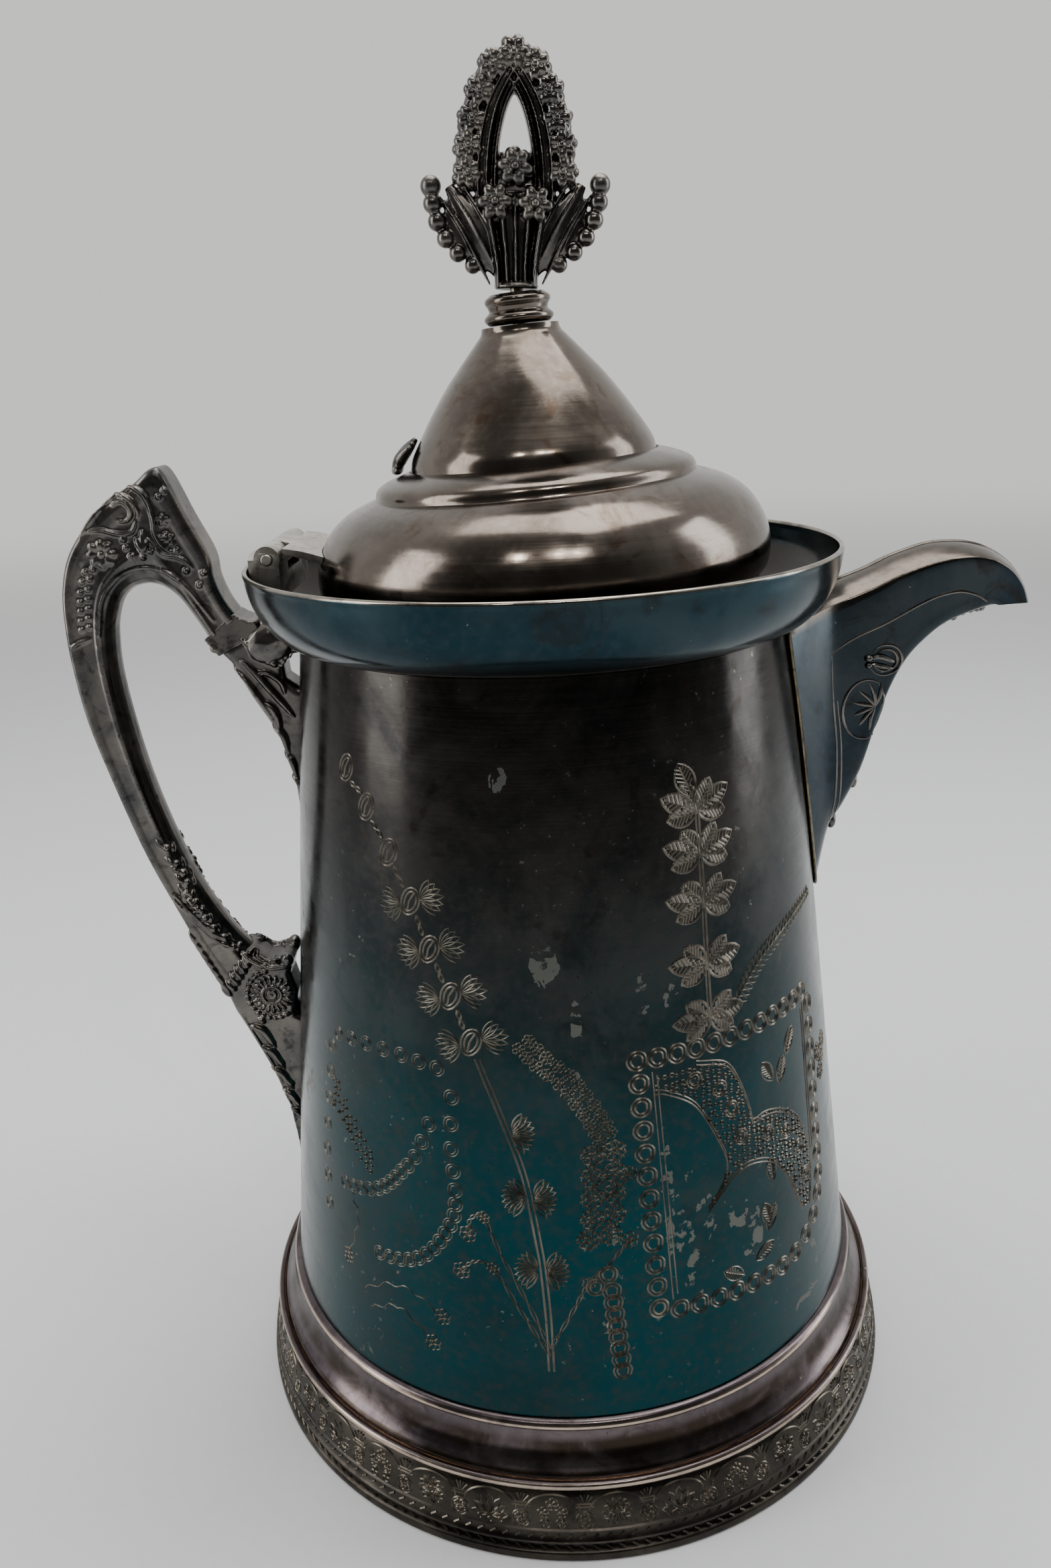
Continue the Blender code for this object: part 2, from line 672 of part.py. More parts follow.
def make_finial_stud():
    return rod("finial_stud", STUD_RADIUS, (0.0, 0.0, 0.2716), (0.0, 0.0, 0.2915), nickel())


def make_finial_nut():
    bore = STUD_RADIUS + GAP
    profile = [(0.0034, 0.2722), (0.0034, 0.2754), (bore, 0.2754), (bore, 0.2722)]
    return turned("finial_nut", profile, nickel(), segments=6)


def finial_side():
    """Right-hand half of the finial's outline, (x, height) from its foot to its tip."""
    stem = [(0.0050, 0.0), (0.0056, 0.0040), (0.0090, 0.0050)]
    lobes = [(0.0102, 0.0058), (0.0132, 0.0085), (0.0156, 0.0114), (0.0171, 0.0147),
             (0.0182, 0.0178)]
    wing = []
    for x, height in lobes:
        wing.append((x + 0.0017, height - 0.0012))
        wing.append((x + 0.0010, height + 0.0010))
    tip = [(0.0206, 0.0200), (0.0203, 0.0222), (0.0180, 0.0228), (0.0160, 0.0208),
           (0.0140, 0.0188)]
    arch = [(0.0138, 0.0230), (0.0143, 0.0260), (0.0132, 0.0310), (0.0118, 0.0370),
            (0.0096, 0.0424), (0.0068, 0.0470), (0.0035, 0.0503), (0.0, FINIAL_HEIGHT)]
    return stem + wing + tip + arch


def make_finial():
    right = finial_side()
    left = [(-x, height) for x, height in right[:-1]]
    finial = cut_from_sheet("finial", right + left[::-1], FINIAL_THICKNESS, cast_silver(),
                            bevel=0.0008)
    window = [(-0.0033, 0.0290), (0.0033, 0.0290), (0.0031, 0.0330), (0.0020, 0.0368),
              (0.0, 0.0396), (-0.0020, 0.0368), (-0.0031, 0.0330)]
    cut(finial, cut_from_sheet("finial_window", window, 0.05, None))
    bore = rod("finial_bore", 0.0025, (0.0, 0.0, -0.002), (0.0, 0.0, 0.0085), None)
    cut(finial, bore)
    tools = [change.object for change in finial.modifiers if change.type == "BOOLEAN"]
    for tool in tools:
        tool.parent = finial
    return finial


# --------------------------------------------------------------------------- assembly

def hang_from(parent, piece, place=None):
    """Parent a piece drawn in world coordinates, or put its own origin at `place`."""
    piece.parent = parent
    origin = Vector(place) if place is not None else Vector((0.0, 0.0, 0.0))
    piece.location = origin - Vector((HINGE_X, 0.0, HINGE_Z))
    for change in piece.modifiers:
        if change.type == "BOOLEAN" and place is None:
            change.object.parent = parent
            change.object.location = piece.location


def make_body():
    make_outer_body()
    make_gallery_rim()
    make_foot_moulding()
    make_foot_band()
    make_base_disc()
    make_inner_liner()
    make_lid_seat()
    make_port_sleeve()
    make_strainer()
    make_spout_half("spout_half_near", -1.0)
    make_spout_half("spout_half_far", 1.0)
    make_handle_grip()
    make_ferrule()
    make_upper_bracket()
    make_lower_bracket()
    make_hinge_body_leaf()
    make_hinge_pin()


def make_lid():
    axis = bpy.data.objects.new("lid_hinge_axis", None)
    bpy.context.scene.collection.objects.link(axis)
    axis.location = (HINGE_X, 0.0, HINGE_Z)
    axis.rotation_euler = (0.0, -LID_AJAR, 0.0)
    makers = (make_lid_dome, make_lid_cone, make_lid_liner, make_lid_ornament,
              make_hinge_lid_leaf, make_finial_collar, make_finial_stud, make_finial_nut)
    for maker in makers:
        hang_from(axis, maker())
    finial = make_finial()
    hang_from(axis, finial, place=(0.0, 0.0, COLLAR_TOP + 0.0008))
    finial.rotation_euler = (0.0, FINIAL_LEAN, 0.0)


clear_scene()
make_body()
make_lid()
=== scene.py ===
"""Looks of a lidded silver-plated water pitcher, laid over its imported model.

Fine turned skins, a stamped spout, cast handle parts, a pierced finial, engraving that
follows the tapered wall, and tarnished metal.  Everything is in metres in the model's
frame: the middle of the foot is the origin, +Z is up, the spout points along +X and the
handle along -X.  Angles on the wall are in degrees, from the front (-Y) to the spout.
"""

import math
import random

import bmesh
import bpy
from mathutils import Matrix, Vector
from mathutils.bvhtree import BVHTree


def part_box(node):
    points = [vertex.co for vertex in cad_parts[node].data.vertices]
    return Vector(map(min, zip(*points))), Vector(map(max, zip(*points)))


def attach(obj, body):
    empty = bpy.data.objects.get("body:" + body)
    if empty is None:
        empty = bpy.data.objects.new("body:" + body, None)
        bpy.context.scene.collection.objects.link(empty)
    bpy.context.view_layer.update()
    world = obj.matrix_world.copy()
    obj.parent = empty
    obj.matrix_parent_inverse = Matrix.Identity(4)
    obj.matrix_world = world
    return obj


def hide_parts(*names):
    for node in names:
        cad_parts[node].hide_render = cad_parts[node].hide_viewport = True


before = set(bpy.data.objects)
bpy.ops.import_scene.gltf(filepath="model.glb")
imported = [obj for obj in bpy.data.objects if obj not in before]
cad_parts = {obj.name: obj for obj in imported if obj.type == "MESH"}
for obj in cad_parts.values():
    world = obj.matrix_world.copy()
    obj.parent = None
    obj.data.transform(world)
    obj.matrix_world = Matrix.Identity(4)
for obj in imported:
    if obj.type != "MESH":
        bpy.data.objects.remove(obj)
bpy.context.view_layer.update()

# ------------------------------------------------------------- sizes from the frame

BODY_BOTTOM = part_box("outer_body")[0].z
BODY_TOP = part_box("outer_body")[1].z
BODY_FOOT_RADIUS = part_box("outer_body")[1].x
FOOT_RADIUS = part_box("foot_band")[1].x
RIM_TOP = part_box("gallery_rim")[1].z
LINER_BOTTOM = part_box("inner_liner")[0].z
LINER_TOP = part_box("inner_liner")[1].z
SEAT_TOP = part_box("lid_seat_ring")[1].z
PORT_PLAY = 0.0002
PORT_NEAR = 0.040
PORT_FAR = 0.090
PORT_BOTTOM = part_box("port_sleeve")[0].z - PORT_PLAY
PORT_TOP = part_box("port_sleeve")[1].z + PORT_PLAY
PORT_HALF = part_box("port_sleeve")[1].y + 2.0 * PORT_PLAY

# ------------------------------------------------ sizes that the frame doesn't state

BODY_NECK_RADIUS = 0.0612
WALL = 0.0011
LINER_WALL = 0.0010
CONE_WALL = 0.0009
SPOUT_ROOT = 0.050               # where the spout is begun, inside the body
LINER_CLEARANCE = 0.0033
LINER_HEEL = 0.0036
GAP = 0.0003

HINGE = Vector((-0.0645, 0.0, 0.2302))
LID_AJAR = math.radians(3.3)
KNUCKLE_RADIUS = 0.0031
PIN_RADIUS = 0.0013
PIN_BORE = PIN_RADIUS + 0.0001
BORE_HALF = 0.03
HINGE_HALF_WIDTH = 0.0180
LID_KNUCKLE_HALF = 0.0070

STUD_RADIUS = 0.0015
COLLAR_RADIUS = 0.0077
COLLAR_BOTTOM = 0.2781
COLLAR_TOP = 0.2848
FINIAL_LEAN = math.radians(5.5)
CAP_SINK = 0.0019

SPOUT_HALF_WIDTH = 0.0105
SPOUT_SEAM_HALF_WIDTH = 0.0240
SPOUT_WALL = 0.0012
SPOUT_CROWN = 0.0034

MM = 0.001
SHARP_ANGLE = 40.0

# The lid's pieces are drawn as if the lid were shut, then turned to where it rests.
LID_PLACE = (Matrix.Translation(HINGE) @ Matrix.Rotation(-LID_AJAR, 4, "Y")
             @ Matrix.Translation(-HINGE))
CAP_PLACE = LID_PLACE @ Matrix.Translation((0.0, 0.0, -CAP_SINK))
FINIAL_PLACE = (CAP_PLACE @ Matrix.Translation((0.0, 0.0, COLLAR_TOP + 0.0008))
                @ Matrix.Rotation(FINIAL_LEAN, 4, "Y"))


# ------------------------------------------------------------------- small helpers

def add_object(name, data):
    """New object in the scene that shows some data."""
    made = bpy.data.objects.new(name, data)
    bpy.context.scene.collection.objects.link(made)
    return made


def mesh_of(name, builder):
    """Mesh made from a bmesh, which is used up."""
    mesh = bpy.data.meshes.new(name)
    builder.to_mesh(mesh)
    builder.free()
    return mesh


def polar(centre, reach, angle, squash=1.0):
    """(x, y) at a reach from a centre, at an angle in degrees from +X."""
    turn = math.radians(angle)
    return (centre[0] + reach * math.cos(turn), centre[1] + reach * squash * math.sin(turn))


def rotated(x, y, angle):
    """(x, y) turned about the origin by an angle in degrees."""
    turn = math.radians(angle)
    return (x * math.cos(turn) - y * math.sin(turn), x * math.sin(turn) + y * math.cos(turn))


# ----------------------------------------------------------------- camera and stage

def make_camera():
    """Eye just above and in front of the pitcher, looking slightly down."""
    camera = add_object("camera", bpy.data.cameras.new("camera"))
    camera.data.sensor_width = 36.0
    camera.data.lens = 27.70
    camera.data.clip_start = 0.01
    yaw = math.radians(1.28)
    pitch = math.radians(-18.86)
    roll = math.radians(-2.84)
    forward = Vector((-math.sin(yaw) * math.cos(pitch), math.cos(yaw) * math.cos(pitch),
                      math.sin(pitch)))
    level = Vector((math.cos(yaw), math.sin(yaw), 0.0))
    upright = level.cross(forward)
    right = level * math.cos(roll) + upright * math.sin(roll)
    up = upright * math.cos(roll) - level * math.sin(roll)
    turn = Matrix((right, up, -forward)).transposed()
    camera.matrix_world = Matrix.Translation((0.0, -0.3025, 0.2692)) @ turn.to_4x4()
    bpy.context.scene.camera = camera


def make_softbox(name, place, size, power, colour):
    """Rectangular lamp that is turned to the middle of the pitcher."""
    lamp = bpy.data.lights.new(name, "AREA")
    lamp.shape = "RECTANGLE"
    lamp.size, lamp.size_y = size
    lamp.energy = power
    lamp.color = colour
    light = add_object(name, lamp)
    light.location = place
    direction = Vector((0.0, 0.0, 0.17)) - Vector(place)
    light.rotation_euler = direction.to_track_quat("-Z", "Y").to_euler()


def make_lights():
    make_softbox("left_softbox", (-0.85, -0.25, 0.45), (0.35, 0.9), 5.0, (1.0, 0.99, 0.97))
    make_softbox("right_softbox", (0.85, 0.05, 0.40), (0.30, 0.9), 4.0, (0.97, 0.99, 1.0))
    make_softbox("top_softbox", (0.10, 0.15, 1.10), (0.9, 0.7), 9.0, (1.0, 0.98, 0.95))
    for x in (-0.22, 0.08, 0.22):
        make_softbox("front_lamp", (x, -0.72, 0.98), (0.05, 0.05), 0.8, (1.0, 0.96, 0.90))


def make_world():
    """Pale surroundings, dimmer on the near side, as in a room lit from behind."""
    world = bpy.data.worlds.new("studio")
    bpy.context.scene.world = world
    world.use_nodes = True
    nodes = world.node_tree.nodes
    links = world.node_tree.links
    where = nodes.new("ShaderNodeTexCoord").outputs["Generated"]
    split = nodes.new("ShaderNodeSeparateXYZ")
    links.new(where, split.inputs[0])
    fade = nodes.new("ShaderNodeMapRange")
    fade.interpolation_type = "SMOOTHSTEP"
    fade.inputs["From Min"].default_value = -0.8
    fade.inputs["From Max"].default_value = 0.5
    fade.inputs["To Min"].default_value = 0.07
    fade.inputs["To Max"].default_value = 0.90
    links.new(split.outputs["Y"], fade.inputs["Value"])
    background = nodes["Background"]
    background.inputs["Color"].default_value = (0.93, 0.92, 0.90, 1.0)
    links.new(fade.outputs["Result"], background.inputs["Strength"])


def make_floor():
    """Large pale disc that the foot stands on, dissolving towards its edge."""
    builder = bmesh.new()
    bmesh.ops.create_circle(builder, cap_ends=True, segments=96, radius=3.0)
    floor = add_object("floor", mesh_of("floor", builder))
    floor.location.z = -0.0002
    recipe = Recipe("floor_paper")
    grain = recipe.noise(0.004, detail=6.0)
    recipe.colour(recipe.mix(grain, (0.66, 0.68, 0.70), (0.72, 0.735, 0.75)))
    recipe.shader.inputs["Roughness"].default_value = 0.7
    reach = recipe.node("ShaderNodeVectorMath", Vector=recipe.where)
    reach.operation = "LENGTH"
    recipe.feed(recipe.shader.inputs["Alpha"],
                recipe.between(reach.outputs["Value"], 2.6, 0.7))
    floor.data.materials.append(recipe.material)


# ------------------------------------------------------------------------ materials

class Recipe:
    """Shorthand for wiring one material's nodes."""

    def __init__(self, name):
        self.material = bpy.data.materials.new(name)
        self.material.use_nodes = True
        self.tree = self.material.node_tree
        self.shader = self.tree.nodes["Principled BSDF"]
        self.where = self.node("ShaderNodeTexCoord").outputs["Object"]

    def feed(self, socket, value):
        """Link a socket into another, or set a number, a place or a colour on it."""
        if isinstance(value, bpy.types.NodeSocket):
            self.tree.links.new(value, socket)
        elif socket.type == "RGBA":
            socket.default_value = (*value[:3], 1.0)
        else:
            socket.default_value = value

    def node(self, kind, **values):
        made = self.tree.nodes.new(kind)
        for name, value in values.items():
            self.feed(made.inputs[name], value)
        return made

    def colour(self, value):
        self.feed(self.shader.inputs["Base Color"], value)

    def noise(self, size, detail=4.0, warp=0.0, stretch=(1.0, 1.0, 1.0)):
        """Noise with features about `size` metres across, finer where stretched."""
        place = self.node("ShaderNodeMapping", Vector=self.where, Scale=stretch)
        made = self.node("ShaderNodeTexNoise", Vector=place.outputs["Vector"],
                         Scale=1.0 / size, Detail=detail, Distortion=warp,
                         Roughness=0.6)
        return made.outputs["Fac"]

    def height(self):
        return self.node("ShaderNodeSeparateXYZ", Vector=self.where).outputs["Z"]

    def between(self, value, low, high, start=0.0, end=1.0):
        """Eased and clamped change from start to end as value goes from low to high."""
        made = self.tree.nodes.new("ShaderNodeMapRange")
        made.interpolation_type = "SMOOTHSTEP"
        for name, number in (("Value", value), ("From Min", low), ("From Max", high),
                             ("To Min", start), ("To Max", end)):
            self.feed(made.inputs[name], number)
        return made.outputs["Result"]

    def maths(self, operation, first, second=0.0):
        made = self.tree.nodes.new("ShaderNodeMath")
        made.operation = operation
        self.feed(made.inputs[0], first)
        self.feed(made.inputs[1], second)
        return made.outputs[0]

    def times(self, first, second):
        return self.maths("MULTIPLY", first, second)

    def plus(self, first, second):
        return self.maths("ADD", first, second)

    def near(self, value, centre, reach):
        """1 at the centre value, fading to 0 at `reach` on both sides."""
        gap = self.maths("ABSOLUTE", self.maths("SUBTRACT", value, centre))
        return self.between(gap, reach, 0.3 * reach)

    def around(self, angle, z, half_angle, half_height):
        """1 at a place on the wall, fading to 0 at an oval about it (angles in degrees)."""
        split = self.node("ShaderNodeSeparateXYZ", Vector=self.where)
        front = self.times(split.outputs["Y"], -1.0)
        turn = self.maths("ARCTAN2", split.outputs["X"], front)
        across = self.maths("DIVIDE", self.maths("SUBTRACT", turn, math.radians(angle)),
                            math.radians(half_angle))
        up = self.maths("DIVIDE", self.maths("SUBTRACT", split.outputs["Z"], z),
                        half_height)
        far = self.plus(self.times(across, across), self.times(up, up))
        return self.between(far, 1.0, 0.35)

    def upward(self):
        """How far the surface faces up, from -1 to 1, in the object's own space."""
        normal = self.node("ShaderNodeTexCoord").outputs["Normal"]
        return self.node("ShaderNodeSeparateXYZ", Vector=normal).outputs["Z"]

    def mix(self, share, first, second):
        made = self.tree.nodes.new("ShaderNodeMix")
        made.data_type = "RGBA"
        self.feed(made.inputs[0], share)
        self.feed(made.inputs[6], first)
        self.feed(made.inputs[7], second)
        return made.outputs[2]

    def bump(self, height, depth, strength):
        made = self.node("ShaderNodeBump", Height=height, Strength=strength,
                         Distance=depth)
        self.feed(self.shader.inputs["Normal"], made.outputs["Normal"])


def tarnished(name, dark, light, stain, fleck, gloss=(0.20, 0.36), patch=0.034,
              worn=0.66, turned_lines=False, painted_floor_reflection=None, highlight_and_wear_bands=(),
              dark_bands=(), crevice_shade=False, scars=(), dust=0.70, painted_top_tint=None):
    """Tarnished plate: clouds of two tones, stains, worn flecks, polish lines and pits.

    worn is the noise level above which the plating is worn to the fleck colour,
    painted_floor_reflection a colour painted low down as a reflection of the floor, and the
    heights that it grows between, downwards, highlight_and_wear_bands a list of (height, reach)
    painted in the fleck colour as highlights along beads and rims, partly rubbed wear, dark_bands
    a list of (height, reach) darkened to the stain colour, scars a list of (degrees, height, half
    width, half height) where it has worn more, dust the noise level above which it is finely
    flecked, painted_top_tint a colour painted on what faces up, as light and reflection from
    above, and crevices a switch for painted shade that darkens crevices towards the stain colour
    by ambient occlusion.
    """
    recipe = Recipe(name)
    recipe.shader.inputs["Metallic"].default_value = 1.0
    clouds = recipe.between(recipe.noise(patch, 5.0, 0.6), 0.36, 0.66)
    colour = recipe.mix(clouds, dark, light)
    stains = recipe.between(recipe.noise(patch * 0.42, 6.0, 1.2), 0.52, 0.70, 0.0, 0.75)
    colour = recipe.mix(stains, colour, stain)
    # Painted reflection: a colour grown towards the bottom, standing in for the floor reflected
    # low on the wall.
    if painted_floor_reflection is not None:
        painted_floor_reflection, high, low = painted_floor_reflection
        depth = recipe.between(recipe.height(), high, low, 0.0, 0.92)
        veil = recipe.between(recipe.noise(0.05, 3.0, 0.3), 0.25, 0.65, 0.45, 1.0)
        colour = recipe.mix(recipe.times(depth, veil), colour, painted_floor_reflection)
    # Painted light and reflection: faces turned up take another colour than the sides, as they
    # face the light above.
    if painted_top_tint is not None:
        colour = recipe.mix(recipe.between(recipe.upward(), 0.0, 0.40), colour, painted_top_tint)
    grain = recipe.noise(0.0022, 7.0)
    colour = recipe.mix(recipe.between(grain, 0.42, 0.78, 0.0, 0.55), colour, light)
    specks = recipe.between(recipe.noise(0.0009, 3.0), 0.66, 0.74, 0.0, 0.8)
    colour = recipe.mix(specks, colour, stain)
    region = recipe.noise(0.038, 3.0, 0.4)
    shapes = recipe.noise(0.0085, 7.0, 0.9)
    rubbed = recipe.plus(recipe.times(region, 0.5), recipe.times(shapes, 0.5))
    if scars:
        ragged = recipe.between(recipe.noise(0.0036, 8.0, 0.5), 0.36, 0.64, 0.02, 0.22)
    for scar in scars:
        rubbed = recipe.plus(rubbed, recipe.times(recipe.around(*scar), ragged))
    bare = recipe.between(rubbed, worn, worn + 0.012)
    colour = recipe.mix(bare, colour, fleck)
    fine = recipe.times(recipe.between(region, 0.42, 0.62),
                        recipe.between(recipe.noise(0.0019, 5.0), dust, dust + 0.03))
    colour = recipe.mix(fine, colour, fleck)
    # Painted highlights, partly rubbed wear: bright bands along beads and rims in the fleck
    # colour; dark bands are darkened to the stain colour.
    bands = [(stain, band) for band in dark_bands] + [(fleck, band) for band in highlight_and_wear_bands]
    for tone, (centre, reach) in bands:
        patchy = recipe.between(recipe.noise(0.011, 5.0, 0.5), 0.30, 0.58, 0.25, 1.0)
        share = recipe.times(recipe.near(recipe.height(), centre, reach), patchy)
        colour = recipe.mix(share, colour, tone)
    # Painted shade: crevices darkened towards the stain colour by ambient occlusion.
    if crevice_shade:
        crevice_occlusion = recipe.node("ShaderNodeAmbientOcclusion", Distance=0.0022)
        crevice_occlusion.samples = 8
        unshaded_share = recipe.between(crevice_occlusion.outputs["AO"], 0.25, 0.85)
        colour = recipe.mix(unshaded_share, stain, colour)
    recipe.colour(colour)
    smear = recipe.noise(0.02, 5.0, 1.0)
    rough = recipe.between(smear, 0.3, 0.7, *gloss)
    rough = recipe.plus(rough, recipe.times(bare, 0.22))
    relief = recipe.times(grain, 0.35)
    if turned_lines:
        rings = recipe.noise(0.05, 3.0, 0.0, (1.0, 1.0, 90.0))
        rough = recipe.plus(rough, recipe.between(rings, 0.35, 0.65, -0.02, 0.02))
        relief = recipe.plus(relief, recipe.times(rings, 0.15))
    relief = recipe.plus(relief, recipe.times(bare, -0.5))
    recipe.feed(recipe.shader.inputs["Roughness"], rough)
    recipe.bump(relief, 0.00012, 0.35)
    return recipe.material


def make_materials():
    """All the object's metals, by name."""
    fleck = (0.36, 0.33, 0.28)
    metals = {}
    # The teal grown low on the wall is a painted reflection of a blue floor below.
    metals["wall"] = tarnished(
        "dark_plate", (0.015, 0.015, 0.015), (0.038, 0.035, 0.032), (0.013, 0.010, 0.009),
        (0.115, 0.120, 0.108), gloss=(0.14, 0.27), worn=0.640, turned_lines=True,
        painted_floor_reflection=((0.0020, 0.043, 0.052), 0.180, 0.070), dust=0.655,
        scars=((23.5, 0.078, 5.5, 0.026), (32.0, 0.080, 3.5, 0.010),
               (35.5, 0.070, 3.5, 0.012), (18.0, 0.092, 1.6, 0.024),
               (21.5, 0.137, 3.2, 0.008), (15.3, 0.138, 2.2, 0.008),
               (2.7, 0.130, 1.4, 0.012), (-2.5, 0.147, 3.6, 0.007),
               (-10.1, 0.188, 2.6, 0.004)))
    metals["engraving"] = tarnished(
        "engraved_plate", (0.080, 0.074, 0.064), (0.170, 0.153, 0.127),
        (0.040, 0.032, 0.026), (0.30, 0.27, 0.22), gloss=(0.30, 0.46), patch=0.012,
        worn=0.62)
    metals["faint"] = tarnished(
        "faint_engraved_plate", (0.062, 0.062, 0.053), (0.130, 0.121, 0.100),
        (0.022, 0.020, 0.016), (0.20, 0.19, 0.16), gloss=(0.30, 0.46), patch=0.012,
        worn=0.62)
    # Gallery: the teal tones are a painted reflection of a blue floor below, faces turned up take
    # a warmer painted colour, and the bright bands on the rim bead and the throat are painted
    # highlights, partly rubbed wear.
    metals["gallery"] = tarnished(
        "gallery_plate_painted_reflection", (0.010, 0.027, 0.036), (0.025, 0.044, 0.052),
        (0.018, 0.018, 0.018), fleck, gloss=(0.12, 0.24), worn=0.68, turned_lines=True,
        highlight_and_wear_bands=((RIM_TOP, 0.0009), (BODY_TOP + 0.0009, 0.0010)),
        painted_top_tint=(0.048, 0.043, 0.038))
    # Foot: the bright bands on the two beads are painted highlights, partly rubbed wear.
    metals["foot"] = tarnished(
        "foot_plate", (0.085, 0.070, 0.078), (0.150, 0.124, 0.126), (0.035, 0.026, 0.020),
        (0.55, 0.44, 0.35), gloss=(0.16, 0.32), patch=0.026, worn=0.70,
        turned_lines=True, highlight_and_wear_bands=((0.0194, 0.0012), (0.0314, 0.0012)),
        dark_bands=((0.0258, 0.0034), (0.0211, 0.0008)))
    metals["border"] = tarnished(
        "border_plate", (0.032, 0.029, 0.026), (0.066, 0.058, 0.049),
        (0.017, 0.014, 0.011), (0.30, 0.25, 0.19), gloss=(0.26, 0.40), patch=0.02,
        worn=0.68)
    metals["border_relief"] = tarnished(
        "border_relief_plate", (0.070, 0.062, 0.052), (0.135, 0.118, 0.094),
        (0.034, 0.028, 0.022), (0.36, 0.31, 0.24), gloss=(0.26, 0.40), patch=0.012,
        worn=0.64)
    metals["lid"] = tarnished(
        "lid_plate", (0.105, 0.088, 0.074), (0.185, 0.160, 0.138), (0.088, 0.056, 0.036),
        (0.36, 0.31, 0.25), gloss=(0.12, 0.24), patch=0.030, worn=0.70,
        turned_lines=True)
    metals["lining"] = tarnished(
        "lining_plate", (0.16, 0.15, 0.14), (0.30, 0.28, 0.26), (0.10, 0.075, 0.055),
        (0.50, 0.47, 0.42), gloss=(0.22, 0.38), patch=0.03, worn=0.68,
        turned_lines=True)
    # Cast parts: the crevice darkening by ambient occlusion is painted shade.
    metals["cast"] = tarnished(
        "cast_plate", (0.082, 0.082, 0.082), (0.165, 0.152, 0.136),
        (0.020, 0.018, 0.017), (0.46, 0.42, 0.36), gloss=(0.20, 0.36), patch=0.014,
        worn=0.655, crevice_shade=True)
    # Spout: the teal tones are a painted reflection of a blue floor below; the crown, turned up,
    # takes a warmer painted colour.
    metals["spout"] = tarnished(
        "spout_plate_painted_reflection", (0.014, 0.025, 0.034), (0.038, 0.046, 0.050),
        (0.020, 0.017, 0.014), (0.30, 0.27, 0.23), gloss=(0.18, 0.30), patch=0.03,
        worn=0.70, painted_top_tint=(0.115, 0.098, 0.082))
    metals["solder"] = tarnished(
        "solder", (0.075, 0.062, 0.042), (0.20, 0.165, 0.10), (0.03, 0.025, 0.018),
        (0.60, 0.50, 0.34), gloss=(0.24, 0.38), patch=0.008, worn=0.66)
    # Nickel parts: the crevice darkening by ambient occlusion is painted shade.
    metals["nickel"] = tarnished(
        "nickel_plate", (0.42, 0.40, 0.36), (0.62, 0.60, 0.55), (0.20, 0.17, 0.13),
        (0.72, 0.70, 0.66), gloss=(0.30, 0.46), patch=0.010, worn=0.66, crevice_shade=True)
    metals["base"] = metals["lining"]
    return metals


METALS = make_materials()


# --------------------------------------------------------------------- mesh helpers

def flowing(points, steps):
    """Points along a smooth curve (Catmull-Rom) through the given points."""
    knots = [Vector(point) for point in points]
    knots = [knots[0] * 2.0 - knots[1]] + knots + [knots[-1] * 2.0 - knots[-2]]
    curve = []
    for before, start, stop, after in zip(knots, knots[1:], knots[2:], knots[3:]):
        for step in range(steps):
            t = step / steps
            place = start * 2.0 + (stop - before) * t
            place += (before * 2.0 - start * 5.0 + stop * 4.0 - after) * (t * t)
            place += (start * 3.0 - before - stop * 3.0 + after) * (t * t * t)
            curve.append(place * 0.5)
    curve.append(knots[-2])
    return curve


def make_piece(name, builder, metal, node=None, body="pitcher", place=None):
    """Turn a bmesh into a smooth-shaded piece that rides on a body."""
    bmesh.ops.recalc_face_normals(builder, faces=builder.faces)
    if place is not None:
        builder.transform(place)
    mesh = mesh_of(name, builder)
    shade(mesh, SHARP_ANGLE)
    mesh.materials.append(METALS[metal])
    piece = add_object(name, mesh)
    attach(piece, body)
    if node is not None:
        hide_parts(node)
    return piece


def shade(mesh, angle):
    """Shade smooth, except across edges sharper than an angle in degrees."""
    mesh.shade_smooth()
    mesh.set_sharp_from_angle(angle=math.radians(angle))


def reopened(piece):
    """The mesh of a piece as a bmesh; the piece is used up."""
    builder = bmesh.new()
    builder.from_mesh(piece.data)
    bpy.data.objects.remove(piece)
    return builder


def settle(piece, sharp=SHARP_ANGLE):
    """Keep a piece's evaluated mesh and drop its modifiers and their tools."""
    tools = [change.object for change in piece.modifiers if change.type == "BOOLEAN"]
    graph = bpy.context.evaluated_depsgraph_get()
    mesh = bpy.data.meshes.new_from_object(piece.evaluated_get(graph))
    piece.modifiers.clear()
    piece.data = mesh
    shade(mesh, sharp)
    for tool in tools:
        bpy.data.objects.remove(tool)


def combine(piece, builder, operation):
    """Add an exact Boolean with the solid in a bmesh."""
    bmesh.ops.recalc_face_normals(builder, faces=builder.faces)
    tool = add_object("tool", mesh_of("tool", builder))
    tool.hide_render = True
    change = piece.modifiers.new("combine", "BOOLEAN")
    change.operation = operation
    change.solver = "EXACT"
    change.object = tool


def solid(add, *sizes):
    """Bmesh that holds what one of the add_ functions makes."""
    builder = bmesh.new()
    add(builder, *sizes)
    return builder


def fuse(piece, voxel, rounds=2):
    """Melt the overlapping solids of a cast piece into one skin."""
    melt = piece.modifiers.new("melt", "REMESH")
    melt.mode = "VOXEL"
    melt.voxel_size = voxel
    melt.use_smooth_shade = True
    soften = piece.modifiers.new("soften", "SMOOTH")
    soften.factor = 0.5
    soften.iterations = rounds
    settle(piece, 180.0)


